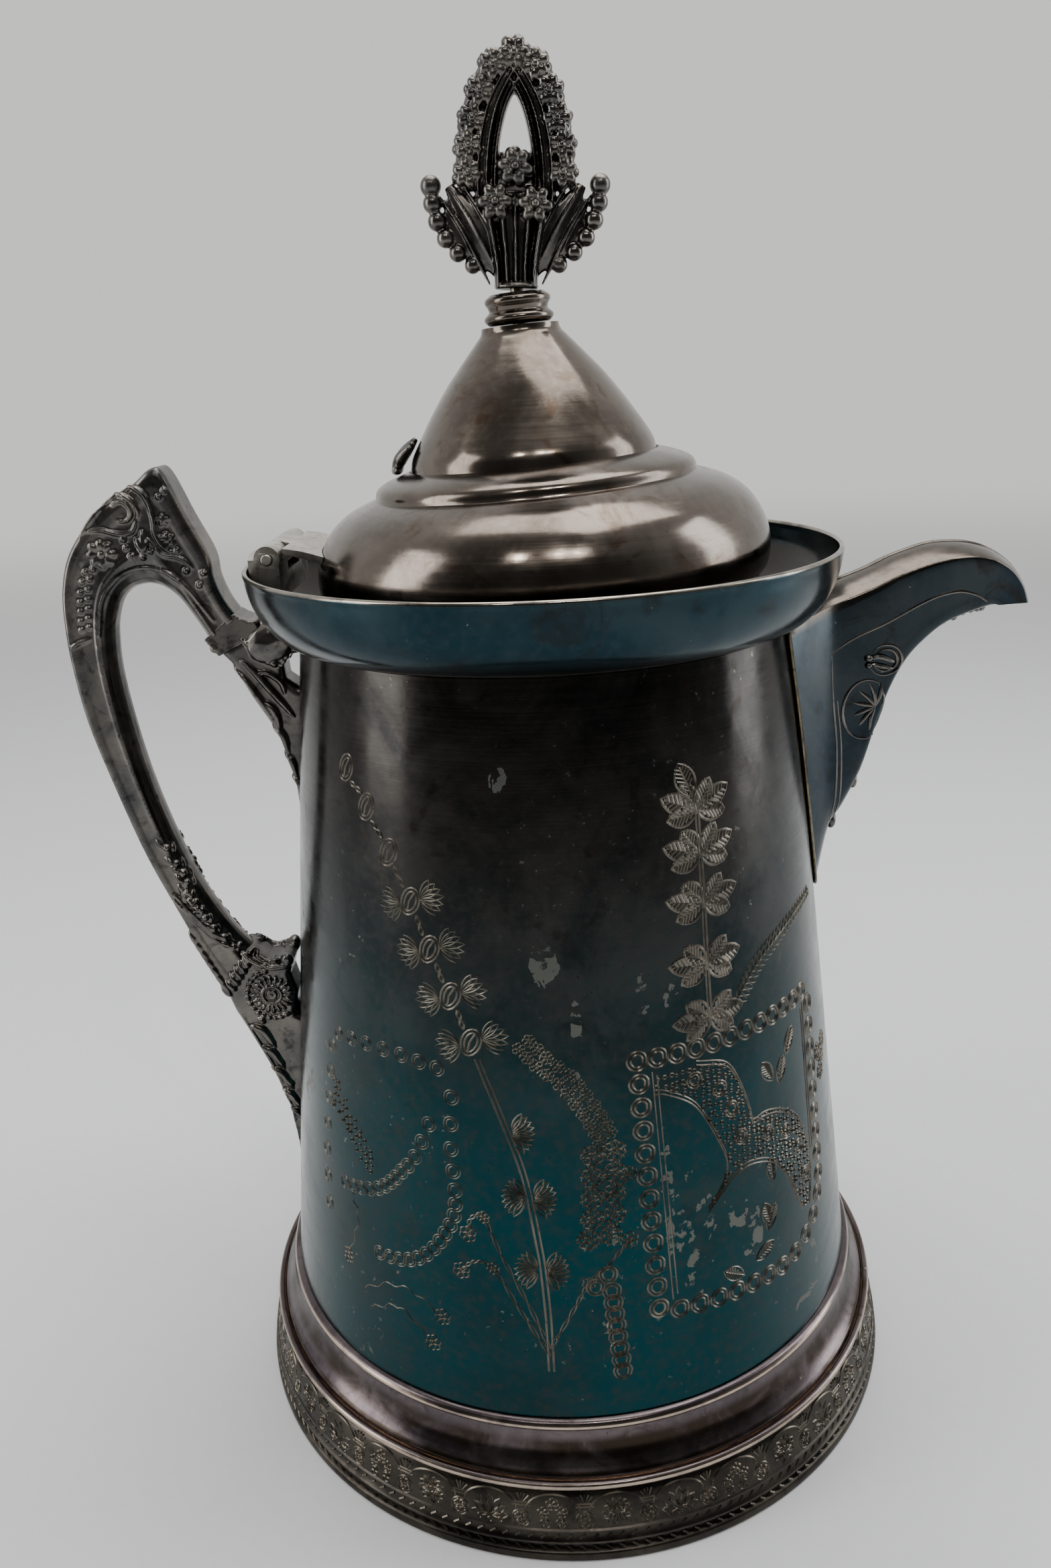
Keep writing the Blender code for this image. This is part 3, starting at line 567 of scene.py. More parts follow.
def add_loft(builder, loops, closed=False, strip_ends=False):
    """Skin through rows of equally long closed loops; ends are capped unless closed.

    strip_ends closes both ends with quads, for a loop that runs out along a wall's
    outer face and back along its inner face.
    """
    rows = [[builder.verts.new(point) for point in loop] for loop in loops]
    if closed:
        rows.append(rows[0])
    for lower, upper in zip(rows, rows[1:]):
        for index in range(len(lower)):
            after = (index + 1) % len(lower)
            builder.faces.new((lower[index], lower[after], upper[after], upper[index]))
    if closed:
        return
    for row in (rows[0][::-1], rows[-1]):
        if not strip_ends:
            builder.faces.new(row)
            continue
        for index in range(len(row) // 2 - 1):
            builder.faces.new((row[index], row[index + 1], row[-2 - index],
                               row[-1 - index]))


def add_turned(builder, profile, steps=192):
    """Solid of revolution about Z from a closed outline of (radius, height)."""
    rings = []
    for radius, height in profile:
        if radius <= 1e-7:
            rings.append([builder.verts.new((0.0, 0.0, height))])
            continue
        ring = []
        for step in range(steps):
            angle = 2.0 * math.pi * step / steps
            place = (radius * math.cos(angle), radius * math.sin(angle), height)
            ring.append(builder.verts.new(place))
        rings.append(ring)
    for index, lower in enumerate(rings):
        upper = rings[(index + 1) % len(rings)]
        if len(lower) == 1 and len(upper) == 1:
            continue
        for step in range(steps):
            after = (step + 1) % steps
            corners = [lower[step % len(lower)], lower[after % len(lower)],
                       upper[after % len(upper)], upper[step % len(upper)]]
            builder.faces.new(list(dict.fromkeys(corners)))


def turned(name, profile, metal, node, body="pitcher", place=None, steps=192):
    """Piece of revolution about Z."""
    return make_piece(name, solid(add_turned, profile, steps), metal, node, body, place)


def add_tube(builder, points, widths, heights, outs, sides=8, closed=False):
    """Bar of oval section along points: half widths across, half heights along `outs`.

    A width, height or out that isn't a list holds for every point.
    """
    count = len(points)
    widths, heights, outs = [value if isinstance(value, list) else [value] * count
                             for value in (widths, heights, outs)]
    loops = []
    for index, point in enumerate(points):
        before = points[index - 1] if index or closed else points[0]
        after = points[(index + 1) % count] if index + 1 < count or closed else point
        along = (after - before).normalized()
        side = along.cross(outs[index]).normalized()
        out = side.cross(along)
        loop = []
        for step in range(sides):
            angle = 2.0 * math.pi * step / sides
            loop.append(point + side * (widths[index] * math.cos(angle))
                        + out * (heights[index] * math.sin(angle)))
        loops.append(loop)
    add_loft(builder, loops, closed)


def tapered(width, count, ends, power=1.0):
    """Widths of a bar that thins to a share of its width at both ends."""
    swells = [math.sin(math.pi * index / (count - 1)) ** power for index in range(count)]
    return [width * (ends + (1.0 - ends) * swell) for swell in swells]


def add_blob(builder, centre, sizes, turn=None, detail=2):
    """Egg with half sizes along its own axes, turned by a 3x3 matrix."""
    place = Matrix.Translation(centre)
    if turn is not None:
        place = place @ turn.to_4x4()
    place = place @ Matrix.Diagonal((*sizes, 1.0))
    bmesh.ops.create_icosphere(builder, subdivisions=detail, radius=1.0, matrix=place)


def add_bar(builder, radius, start, end, sides=32):
    """Straight round bar between two points."""
    start = Vector(start)
    axis = Vector(end) - start
    turn = Vector((0.0, 0.0, 1.0)).rotation_difference(axis).to_matrix().to_4x4()
    place = Matrix.Translation(start + axis / 2.0) @ turn
    bmesh.ops.create_cone(builder, cap_ends=True, segments=sides, radius1=radius,
                          radius2=radius, depth=axis.length, matrix=place)


def add_box(builder, low, high):
    low = Vector(low)
    high = Vector(high)
    place = Matrix.Translation((low + high) / 2.0) @ Matrix.Diagonal((*(high - low), 1.0))
    bmesh.ops.create_cube(builder, size=1.0, matrix=place)


def add_sheet(builder, outline, thickness):
    """Plate in the XZ plane, centred on Y, from a closed outline of (x, z)."""
    add_loft(builder, [[Vector((x, y, z)) for x, z in outline]
                       for y in (-thickness / 2.0, thickness / 2.0)])


def soft_edges(piece, width, segments=3, angle=40.0):
    edge = piece.modifiers.new("soft_edges", "BEVEL")
    edge.width = width
    edge.segments = segments
    edge.limit_method = "ANGLE"
    edge.angle_limit = math.radians(angle)
    return piece


# -------------------------------------------------------------------- turned pieces

def wall_radius(z):
    """Radius of the tapered outer wall at height z."""
    share = (z - BODY_BOTTOM) / (BODY_TOP - BODY_BOTTOM)
    return BODY_FOOT_RADIUS + share * (BODY_NECK_RADIUS - BODY_FOOT_RADIUS)


def cut_port(piece):
    """Cut the rectangular way from the liner out to the spout."""
    way = solid(add_box, (PORT_NEAR, -PORT_HALF, PORT_BOTTOM), (PORT_FAR, PORT_HALF, PORT_TOP))
    combine(piece, way, "DIFFERENCE")
    settle(piece)


def make_wall():
    outside = []
    for step in range(41):
        height = BODY_BOTTOM + (BODY_TOP - BODY_BOTTOM) * step / 40
        outside.append((wall_radius(height), height))
    inside = [(wall_radius(height) - WALL, height) for height in (BODY_TOP, BODY_BOTTOM)]
    cut_port(turned("body_wall", outside + inside, "wall", "outer_body"))


def gallery_lines():
    """Outer and inner line of the flared gallery, each from bottom to top."""
    outer = [(0.0613, 0.2099), (0.0650, 0.2110), (0.0684, 0.2140), (0.0709, 0.2180),
             (0.0723, 0.2222), (0.0729, 0.2262)]
    inner = [(0.0607, 0.2112), (0.0644, 0.2122), (0.0678, 0.2150), (0.0702, 0.2186),
             (0.0716, 0.2222), (0.0719, 0.2262)]
    return flowing(outer, 6), flowing(inner, 6)


def rounded_lip(inner_radius, outer_radius, base, top, count=8):
    """Half round from the outer radius over the top to the inner radius."""
    middle = (inner_radius + outer_radius) / 2.0
    half = (outer_radius - inner_radius) / 2.0
    return [(middle + half * math.cos(math.pi * step / count),
             base + (top - base) * math.sin(math.pi * step / count))
            for step in range(count + 1)]


def make_gallery():
    outer, inner = gallery_lines()
    bead = rounded_lip(0.0717, 0.0731, 0.2268, RIM_TOP)
    throat = [(0.0596, 0.2110), (0.0596, 0.2099)]
    turned("gallery", outer + bead + inner[::-1] + throat, "gallery", "gallery_rim")


def make_foot():
    lower_bead = rounded_lip(0.0852, 0.0872, 0.0196, 0.0206, 6)
    upper_bead = [(0.0806 + 0.0007 * math.sin(math.pi * step / 8),
                   0.0302 + 0.0025 * step / 8) for step in range(9)]
    cove = flowing([(0.0850, 0.0210), (0.0834, 0.0228), (0.0819, 0.0254),
                    (0.0810, 0.0282), (0.0806, 0.0299)], 6)
    profile = [(0.0846, 0.0179), (0.0862, 0.0180), (0.0870, 0.0187)] + lower_bead
    profile += cove + upper_bead
    profile += [(0.0797, 0.0330), (0.0782, 0.0330), (0.0787, 0.0300), (0.0800, 0.0252),
                (0.0820, 0.0212), (0.0834, 0.0179)]
    turned("foot_cove", profile, "foot", "foot_moulding")
    skirt = [(0.0862, 0.0), (0.0897, 0.0), (FOOT_RADIUS, 0.0003), (FOOT_RADIUS, 0.0019),
             (0.0896, 0.0024), (0.0888, 0.0026)]
    for height in (0.0050, 0.0080):
        radius = band_radius(height)
        skirt += [(radius, height - 0.0005), (radius + 0.0004, height - 0.0002),
                  (radius + 0.0004, height + 0.0002), (radius, height + 0.0005)]
    skirt += [(band_radius(0.0168), 0.0168), (0.0862, 0.0176), (0.0842, 0.0176),
              (0.0852, 0.0062)]
    turned("foot_skirt", skirt, "border", "foot_band")
    disc = [(0.0, 0.0104), (0.0500, 0.0100), (0.0700, 0.0092), (0.0838, 0.0088),
            (0.0838, 0.0100), (0.0700, 0.0104), (0.0500, 0.0111), (0.0, 0.0116)]
    turned("base_plate", disc, "base", "base_disc")


def liner_radius(z):
    return wall_radius(z) - LINER_CLEARANCE


def make_linings():
    """The inner vessel and the ledge that the lid shuts on."""
    floor_radius = liner_radius(LINER_BOTTOM + LINER_HEEL) - LINER_HEEL
    heel = []
    inner_heel = []
    for step in range(9):
        angle = math.pi / 2.0 * step / 8
        heel.append((floor_radius + LINER_HEEL * math.sin(angle),
                     LINER_BOTTOM + LINER_HEEL * (1.0 - math.cos(angle))))
        reach = LINER_HEEL - LINER_WALL
        inner_heel.append((floor_radius + reach * math.sin(angle),
                           LINER_BOTTOM + LINER_HEEL - reach * math.cos(angle)))
    top = liner_radius(LINER_TOP)
    profile = [(0.0, LINER_BOTTOM)] + heel
    profile += [(top, LINER_TOP), (top - LINER_WALL, LINER_TOP)]
    profile += inner_heel[::-1] + [(0.0, LINER_BOTTOM + LINER_WALL)]
    cut_port(turned("water_vessel", profile, "lining", "inner_liner"))
    seat = [(0.0525, 0.2126), (0.0560, 0.2126), (0.0560, BODY_TOP), (0.0592, BODY_TOP),
            (0.0592, SEAT_TOP - 0.0005), (0.0588, SEAT_TOP), (0.0529, SEAT_TOP),
            (0.0525, SEAT_TOP - 0.0004)]
    turned("lid_ledge", seat, "lining", "lid_seat_ring")


def make_carried_over():
    """Plain plates of the model that keep their shape and take a worn finish."""
    for node, metal in (("port_sleeve", "lining"), ("strainer_plate", "lining"),
                        ("finial_stud", "nickel"), ("finial_nut", "nickel")):
        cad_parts[node].data.materials.clear()
        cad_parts[node].data.materials.append(METALS[metal])


# ------------------------------------------------------------------------------ lid

def dome_line():
    """Outer line of the dome, from its lower edge to the cone's foot."""
    skirt = flowing([(0.0534, 0.2146), (0.0548, 0.2166), (0.0555, 0.2195),
                     (0.0556, 0.2226), (0.0549, 0.2266), (0.0529, 0.2308),
                     (0.0503, 0.2342), (0.0463, 0.2371), (0.0420, 0.2389),
                     (0.0393, 0.2398)], 5)
    step = flowing([(0.0390, 0.2404), (0.0388, 0.2414), (0.0380, 0.2425),
                    (0.0360, 0.2436), (0.0330, 0.2447), (0.0303, 0.2455)], 4)
    return skirt + step


def cone_line():
    """Outer line of the cone and its neck, upwards."""
    line = flowing([(0.0299, 0.2452), (0.0291, 0.2484), (0.0269, 0.2524),
                    (0.0233, 0.2584), (0.0191, 0.2645), (0.0145, 0.2702),
                    (0.0115, 0.2737)], 5)
    neck = flowing([(0.0106, 0.2748), (0.0098, 0.2757), (0.0093, 0.2766),
                    (0.0091, 0.2777)], 3)
    low = line[0].y
    squash = 1.0 - CAP_SINK / (neck[-1].y - low)
    return [(point.x, low + (point.y - low) * squash) for point in line + neck]


def inward(profile, thickness):
    """Copy of an open outline, offset to its left by a sheet thickness."""
    copy = []
    for index, (radius, height) in enumerate(profile):
        before = Vector(profile[max(index - 1, 0)])
        after = Vector(profile[min(index + 1, len(profile) - 1)])
        along = (after - before).normalized()
        copy.append((radius - along.y * thickness, height + along.x * thickness))
    return copy


def make_lid():
    dome = dome_line()
    turned("dome", dome + inward(dome, WALL)[::-1], "lid", "lid_dome", "lid", LID_PLACE)
    cone = cone_line()
    inner = inward(cone, CONE_WALL)
    bore = STUD_RADIUS + 2.0 * GAP
    top = cone[-1][1]
    closing = [(bore, top), (bore, top - 0.0010), (inner[-1][0], top - 0.0010)]
    turned("cone", cone + closing + inner[:-1][::-1], "lid", "lid_cone", "lid", LID_PLACE)
    cap = flowing([(0.0512, 0.2200), (0.0480, 0.2245), (0.0380, 0.2300),
                   (0.0240, 0.2335), (0.0, 0.2350)], 5)
    inner_cap = [(max(radius - CONE_WALL, 0.0), height - CONE_WALL) for radius, height in cap]
    profile = [(0.0512, 0.2156)] + cap + [(0.0, 0.2341)] + inner_cap[:-1][::-1]
    turned("lid_inner_cap", profile + [(0.0503, 0.2156)], "lining", "lid_liner", "lid", LID_PLACE)
    make_collar()
    make_lid_leaf()


def make_collar():
    """Turned ring under the finial, with a rolled band and a groove."""
    radius = COLLAR_RADIUS
    bottom = COLLAR_BOTTOM
    band = [(radius - 0.0006 + 0.0011 * math.sin(math.pi * step / 10),
             bottom + 0.0027 * step / 10) for step in range(11)]
    upper = flowing([(radius - 0.0008, bottom + 0.0031), (radius - 0.0005, bottom + 0.0040),
                     (radius, bottom + 0.0048), (radius - 0.0001, bottom + 0.0057),
                     (radius - 0.0014, COLLAR_TOP)], 4)
    bore = [(STUD_RADIUS + GAP, COLLAR_TOP), (STUD_RADIUS + GAP, bottom)]
    turned("collar", band + upper + bore, "lid", "finial_collar", "lid", CAP_PLACE, 96)


def make_lid_leaf():
    """Small cast leaf lying on the lid's step, on the hinge side."""
    builder = bmesh.new()
    tip = Vector((-0.0276, 0.0, 0.2530))
    root = Vector((-0.0338, 0.0, 0.2456))
    out = Vector((-0.75, 0.0, 0.66))
    for blade in (-2, -1, 0, 1, 2):
        reach = tip.lerp(root, 0.10 * abs(blade)) + Vector((0.0, 0.0026 * blade, 0.0))
        points = flowing([root, root.lerp(reach, 0.5) + out * 0.0006, reach], 4)
        widths = [0.0005 + 0.0012 * math.sin(math.pi * (0.15 + 0.8 * step / 8))
                  for step in range(len(points))]
        add_tube(builder, points, widths, [width * 0.9 for width in widths], out)
    add_blob(builder, root + Vector((0.0008, 0.0, 0.0006)), (0.0013, 0.0058, 0.0012))
    fuse(make_piece("lid_leaf", builder, "cast", "lid_ornament", "lid", LID_PLACE), 0.00030)


# ---------------------------------------------------------------------------- hinge

def add_axis_bar(builder, radius, half, sides=48):
    """Round bar on the hinge's axis."""
    add_bar(builder, radius, HINGE - Vector((0.0, half, 0.0)),
            HINGE + Vector((0.0, half, 0.0)), sides)


def make_hinge():
    """Two leaves whose knuckles interleave on one pin."""
    make_hinge_body_leaf()
    make_hinge_lid_leaf()
    end = HINGE_HALF_WIDTH + 0.0006
    profile = [(0.0, -end), (0.0007, -end), (0.0008, -end + 0.0002),
               (PIN_RADIUS - 0.0002, -end), (PIN_RADIUS, -end + 0.0002),
               (PIN_RADIUS, end - 0.0002), (PIN_RADIUS - 0.0002, end), (0.0, end)]
    place = Matrix.Translation(HINGE) @ Matrix.Rotation(math.pi / 2.0, 4, "X")
    turned("hinge_rod", profile, "nickel", "hinge_pin", place=place, steps=32)


def make_hinge_body_leaf():
    block = solid(add_box, (-0.0715, -HINGE_HALF_WIDTH, 0.2205),
                  (-0.0618, HINGE_HALF_WIDTH, HINGE.z))
    leaf = make_piece("hinge_lug", block, "nickel", "hinge_body_leaf")
    combine(leaf, solid(add_axis_bar, KNUCKLE_RADIUS, HINGE_HALF_WIDTH), "UNION")
    half = LID_KNUCKLE_HALF + GAP
    combine(leaf, solid(add_axis_bar, KNUCKLE_RADIUS + 0.0008, half), "DIFFERENCE")
    combine(leaf, solid(add_box, (-0.0640, -half, 0.2262), (-0.0600, half, 0.2350)),
            "DIFFERENCE")
    combine(leaf, solid(add_axis_bar, PIN_BORE, BORE_HALF, 32), "DIFFERENCE")
    hollow = [(0.0, 0.2100)]
    hollow += [(radius - 2.0 * GAP, height) for radius, height in gallery_lines()[1]]
    hollow += [(0.0713, 0.2400), (0.0, 0.2400)]
    combine(leaf, solid(add_turned, hollow), "INTERSECT")
    settle(leaf)
    settle(soft_edges(leaf, 0.0003, 2))


def make_hinge_lid_leaf():
    near_x = HINGE.x + 0.0038
    outline = flowing([(near_x, 0.2323), (-0.0560, 0.2311), (-0.0500, 0.2288)], 4)
    outline += [(-0.0500, 0.2271), (near_x, 0.2311)]
    flap = solid(add_sheet, outline[::-1], 2.0 * HINGE_HALF_WIDTH - 0.0020)
    plate = make_piece("hinge_flap", flap, "nickel", "hinge_lid_leaf", "lid", LID_PLACE)
    far_x = HINGE.x + 0.0055
    arm = solid(add_sheet, [(HINGE.x, 0.2299), (HINGE.x, 0.2333), (far_x, 0.2319),
                            (far_x, 0.2299)], 2.0 * LID_KNUCKLE_HALF)
    arm.transform(LID_PLACE)
    combine(plate, arm, "UNION")
    combine(plate, solid(add_axis_bar, KNUCKLE_RADIUS, LID_KNUCKLE_HALF), "UNION")
    combine(plate, solid(add_axis_bar, PIN_BORE, BORE_HALF), "DIFFERENCE")
    play = GAP / 3.0
    grown = [(radius + play, height + play) for radius, height in dome_line()]
    dome = solid(add_turned, [(0.0, 0.2142)] + grown + [(0.0, 0.2460)])
    dome.transform(LID_PLACE)
    combine(plate, dome, "DIFFERENCE")
    settle(plate)
    settle(soft_edges(plate, 0.0003, 2))


# ---------------------------------------------------------------------------- spout

def spout_stations():
    """(top edge, underside edge) pairs in XZ from the body seam out to the mouth."""
    return [((0.0665, 0.2113), (0.0718, 0.1522)), ((0.0712, 0.2124), (0.0752, 0.1580)),
            ((0.0762, 0.2140), (0.0795, 0.1672)), ((0.0812, 0.2159), (0.0827, 0.1784)),
            ((0.0860, 0.2182), (0.0858, 0.1886)), ((0.0905, 0.2198), (0.0895, 0.1962)),
            ((0.0950, 0.2211), (0.0937, 0.2012)), ((0.0998, 0.2219), (0.0985, 0.2052)),
            ((0.1045, 0.2219), (0.1035, 0.2074)), ((0.1095, 0.2207), (0.1074, 0.2086)),
            ((0.1145, 0.2177), (0.1095, 0.2092)), ((0.1180, 0.2135), (0.1106, 0.2094)),
            ((0.1198, 0.2092), (0.1113, 0.2094))]


def spout_half_width(x, lower):
    """Half width of the spout at reach x, wider where it meets the body."""
    flare = 0.0055 * math.exp(-max(x - 0.066, 0.0) / 0.0035)
    nose = max(x - 0.100, 0.0) / 0.020
    width = SPOUT_HALF_WIDTH + flare - 0.0062 * nose * nose
    return width * (0.78 if lower else 1.0)


def spout_section(top, under, inset):
    """Half of one cross-section, from the crown's middle round to the keel's middle."""
    top = Vector((top[0], 0.0, top[1]))
    under = Vector((under[0], 0.0, under[1]))
    down = (under - top).normalized()
    top_width = spout_half_width(top.x, False) - inset
    low_width = spout_half_width(under.x, True) - inset
    crown = SPOUT_CROWN * min(1.0, 3.0 * (top - under).length / 0.06)
    start = top + down * inset
    stop = under - down * inset
    points = []
    for share in (0.0, 0.35, 0.7, 0.93):
        rise = crown * (1.0 - share * share)
        points.append(start - down * rise + Vector((0.0, share * top_width, 0.0)))
    for share in (0.04, 0.35, 0.68, 0.93):
        width = top_width + (low_width - top_width) * share
        points.append(start.lerp(stop, share) + Vector((0.0, width, 0.0)))
    for share in (0.62, 0.0):
        points.append(stop + Vector((0.0, share * low_width, 0.0)))
    return points


def spout_seam_section(inset):
    """Half of the section that lies on the tapered body, flaring wide at the top."""
    top = BODY_TOP + 0.0001 - inset
    bottom = 0.1372 + 2.0 * inset
    points = [(share * (SPOUT_SEAM_HALF_WIDTH - inset), top)
              for share in (0.0, 0.35, 0.7, 0.93)]
    for share in (0.04, 0.35, 0.68, 0.93):
        width = SPOUT_SEAM_HALF_WIDTH * (1.0 - 0.52 * share) - inset
        points.append((width, top + (bottom - top) * share))
    points += [(0.0070 - inset, bottom + 0.0006), (0.0, bottom)]
    section = []
    for y, z in points:
        radius = wall_radius(z) + GAP + 0.0002
        section.append(Vector((math.sqrt(radius * radius - y * y), y, z)))
    return section


def spout_skin(inset):
    """Half of one skin of the spout, smoothed both along it and across it."""
    rows = [spout_seam_section(inset)]
    rows += [spout_section(top, under, inset) for top, under in spout_stations()]
    rows = [flowing(row, 3) for row in rows]
    columns = [flowing(column, 4) for column in zip(*rows)]
    skin = []
    for row in zip(*columns):
        skin.append([Vector((point.x, max(point.y, 0.0), point.z)) for point in row])
    return skin


def spout_near_skin():
    """Search tree of the spout's near side, for laying ornament on it."""
    builder = bmesh.new()
    rows = [[builder.verts.new((point.x, -point.y, point.z)) for point in row]
            for row in spout_skin(0.0)]
    for lower, upper in zip(rows, rows[1:]):
        for index in range(len(lower) - 1):
            builder.faces.new((lower[index], lower[index + 1], upper[index + 1],
                               upper[index]))
    bmesh.ops.recalc_face_normals(builder, faces=builder.faces)
    tree = BVHTree.FromBMesh(builder)
    builder.free()
    return tree


def body_envelope(grow):
    """Solid of the tapered wall and gallery, grown by a clearance."""
    profile = [(0.0, BODY_BOTTOM), (BODY_FOOT_RADIUS + grow, BODY_BOTTOM),
               (BODY_NECK_RADIUS + grow, BODY_TOP)]
    profile += [(radius + grow, height) for radius, height in gallery_lines()[0]]
    return solid(add_turned, profile + [(0.0, RIM_TOP)])


def make_spout_half(name, side, node):
    """One stamped half of the spout, begun inside the body and trimmed to its wall."""
    loops = []
    for outer, inner in zip(spout_skin(0.0), spout_skin(SPOUT_WALL)):
        loop = []
        for point in outer + inner[::-1]:
            loop.append(Vector((point.x, side * (point.y + GAP / 3.0), point.z)))
        loops.append(loop)
    loops.insert(0, [Vector((SPOUT_ROOT, point.y, point.z)) for point in loops[0]])
    half = make_piece(name, solid(add_loft, loops, False, True), "spout", node)
    combine(half, body_envelope(0.0001), "DIFFERENCE")
    settle(half)


def make_spout():
    make_spout_half("spout_shell_near", -1.0, "spout_half_near")
    make_spout_half("spout_shell_far", 1.0, "spout_half_far")
    make_spout_seams()
    make_spout_ornament()


def make_spout_seams():
    """Solder where the spout meets the wall, and beads along the crown and keel."""
    builder = bmesh.new()
    for side in (-1.0, 1.0):
        edge = spout_seam_section(0.0)[3:]
        points = []
        outs = []
        for point in flowing(edge, 5):
            out = Vector((point.x, point.y, 0.0)).normalized()
            place = Vector((point.x, side * point.y, point.z))
            points.append(place + Vector((0.0, side * 0.0004, 0.0)))
            outs.append(Vector((out.x, side * out.y, 0.12)).normalized())
        add_tube(builder, points, 0.0006, 0.0005, outs)
    make_piece("spout_solder", builder, "solder")
    builder = bmesh.new()
    skin = spout_skin(0.0)
    for index, out in ((0, Vector((0.0, 0.0, 1.0))), (-1, Vector((1.0, 0.0, -0.3)))):
        points = [Vector((row[index].x, 0.0, row[index].z)) for row in skin[5:]]
        add_tube(builder, points, 0.0007, 0.00035, out)
    make_piece("spout_joint_beads", builder, "spout")


# ------------------------------------------------------- cast ornament on a near face

class Relief:
    """Blobs and tapered ridges laid on the near face of a shape, and on its far face."""

    def __init__(self, tree):
        self.tree = tree
        self.builder = bmesh.new()

    def touch(self, x, z):
        """Point and outward normal of the near face at (x, z)."""
        start = Vector((x, -0.06, z))
        point, normal = self.tree.ray_cast(start, Vector((0.0, 1.0, 0.0)))[:2]
        if point is None or point.y > 0.0:
            point, normal = self.tree.find_nearest(Vector((x, -0.006, z)))[:2]
        if normal.y > 0.0:
            normal = -normal
        return point, normal

    def blob(self, x, z, along, across, out, angle=0.0):
        """Half-buried egg, its long axis at an angle (degrees) above +X."""
        point, normal = self.touch(x, z)
        turn = math.radians(angle)
        axis = Vector((math.cos(turn), 0.0, math.sin(turn)))
        axis = (axis - normal * axis.dot(normal)).normalized()
        side = normal.cross(axis)
        frame_turn = Matrix((axis, side, normal)).transposed()
        add_blob(self.builder, point, (along, across, out), frame_turn)

    def ridge(self, points, width, height, steps=5, ends=0.25):
        """Ridge through (x, z) points that thins towards its ends."""
        touched = [self.touch(x, z) for x, z in flowing(points, steps)]
        places, outs = [list(side) for side in zip(*touched)]
        count = len(places)
        add_tube(self.builder, places, tapered(width, count, ends, 0.6),
                 tapered(height, count, ends, 0.6), outs)

    def flower(self, x, z, radius, petals, out):
        """Ring of round petals about a centre bead."""
        for step in range(petals):
            angle = 90.0 + 360.0 * step / petals
            self.blob(*polar((x, z), radius * 0.62, angle), radius * 0.42, radius * 0.30,
                      out, angle)
        self.blob(x, z, radius * 0.26, radius * 0.26, out * 1.15)

    def both_faces(self):
        """Copy everything to the far face, and hand the mesh over."""
        copy = bmesh.ops.duplicate(self.builder, geom=self.builder.faces[:]
                                   + self.builder.edges[:] + self.builder.verts[:])
        for item in copy["geom"]:
            if isinstance(item, bmesh.types.BMVert):
                item.co.y = -item.co.y
        return self.builder


def cast_piece(name, blank, carve, grow, voxel, node):
    """Trim a blank to the wall, lay ornament on both faces and melt it into one skin."""
    trimmed = make_piece("blank", blank, "cast")
    combine(trimmed, body_envelope(grow), "DIFFERENCE")
    settle(trimmed)
    base = reopened(trimmed)
    bmesh.ops.recalc_face_normals(base, faces=base.faces)
    relief = Relief(BVHTree.FromBMesh(base))
    carve(relief)
    base.from_mesh(mesh_of("ornament", relief.both_faces()))
    fuse(make_piece(name, base, "cast", node), voxel, 1)


def arc(centre, radius, start, stop, count=10, squash=1.0):
    """(x, z) points on an arc, angles in degrees from +X."""
    return [polar(centre, radius, start + (stop - start) * step / count, squash)
            for step in range(count + 1)]


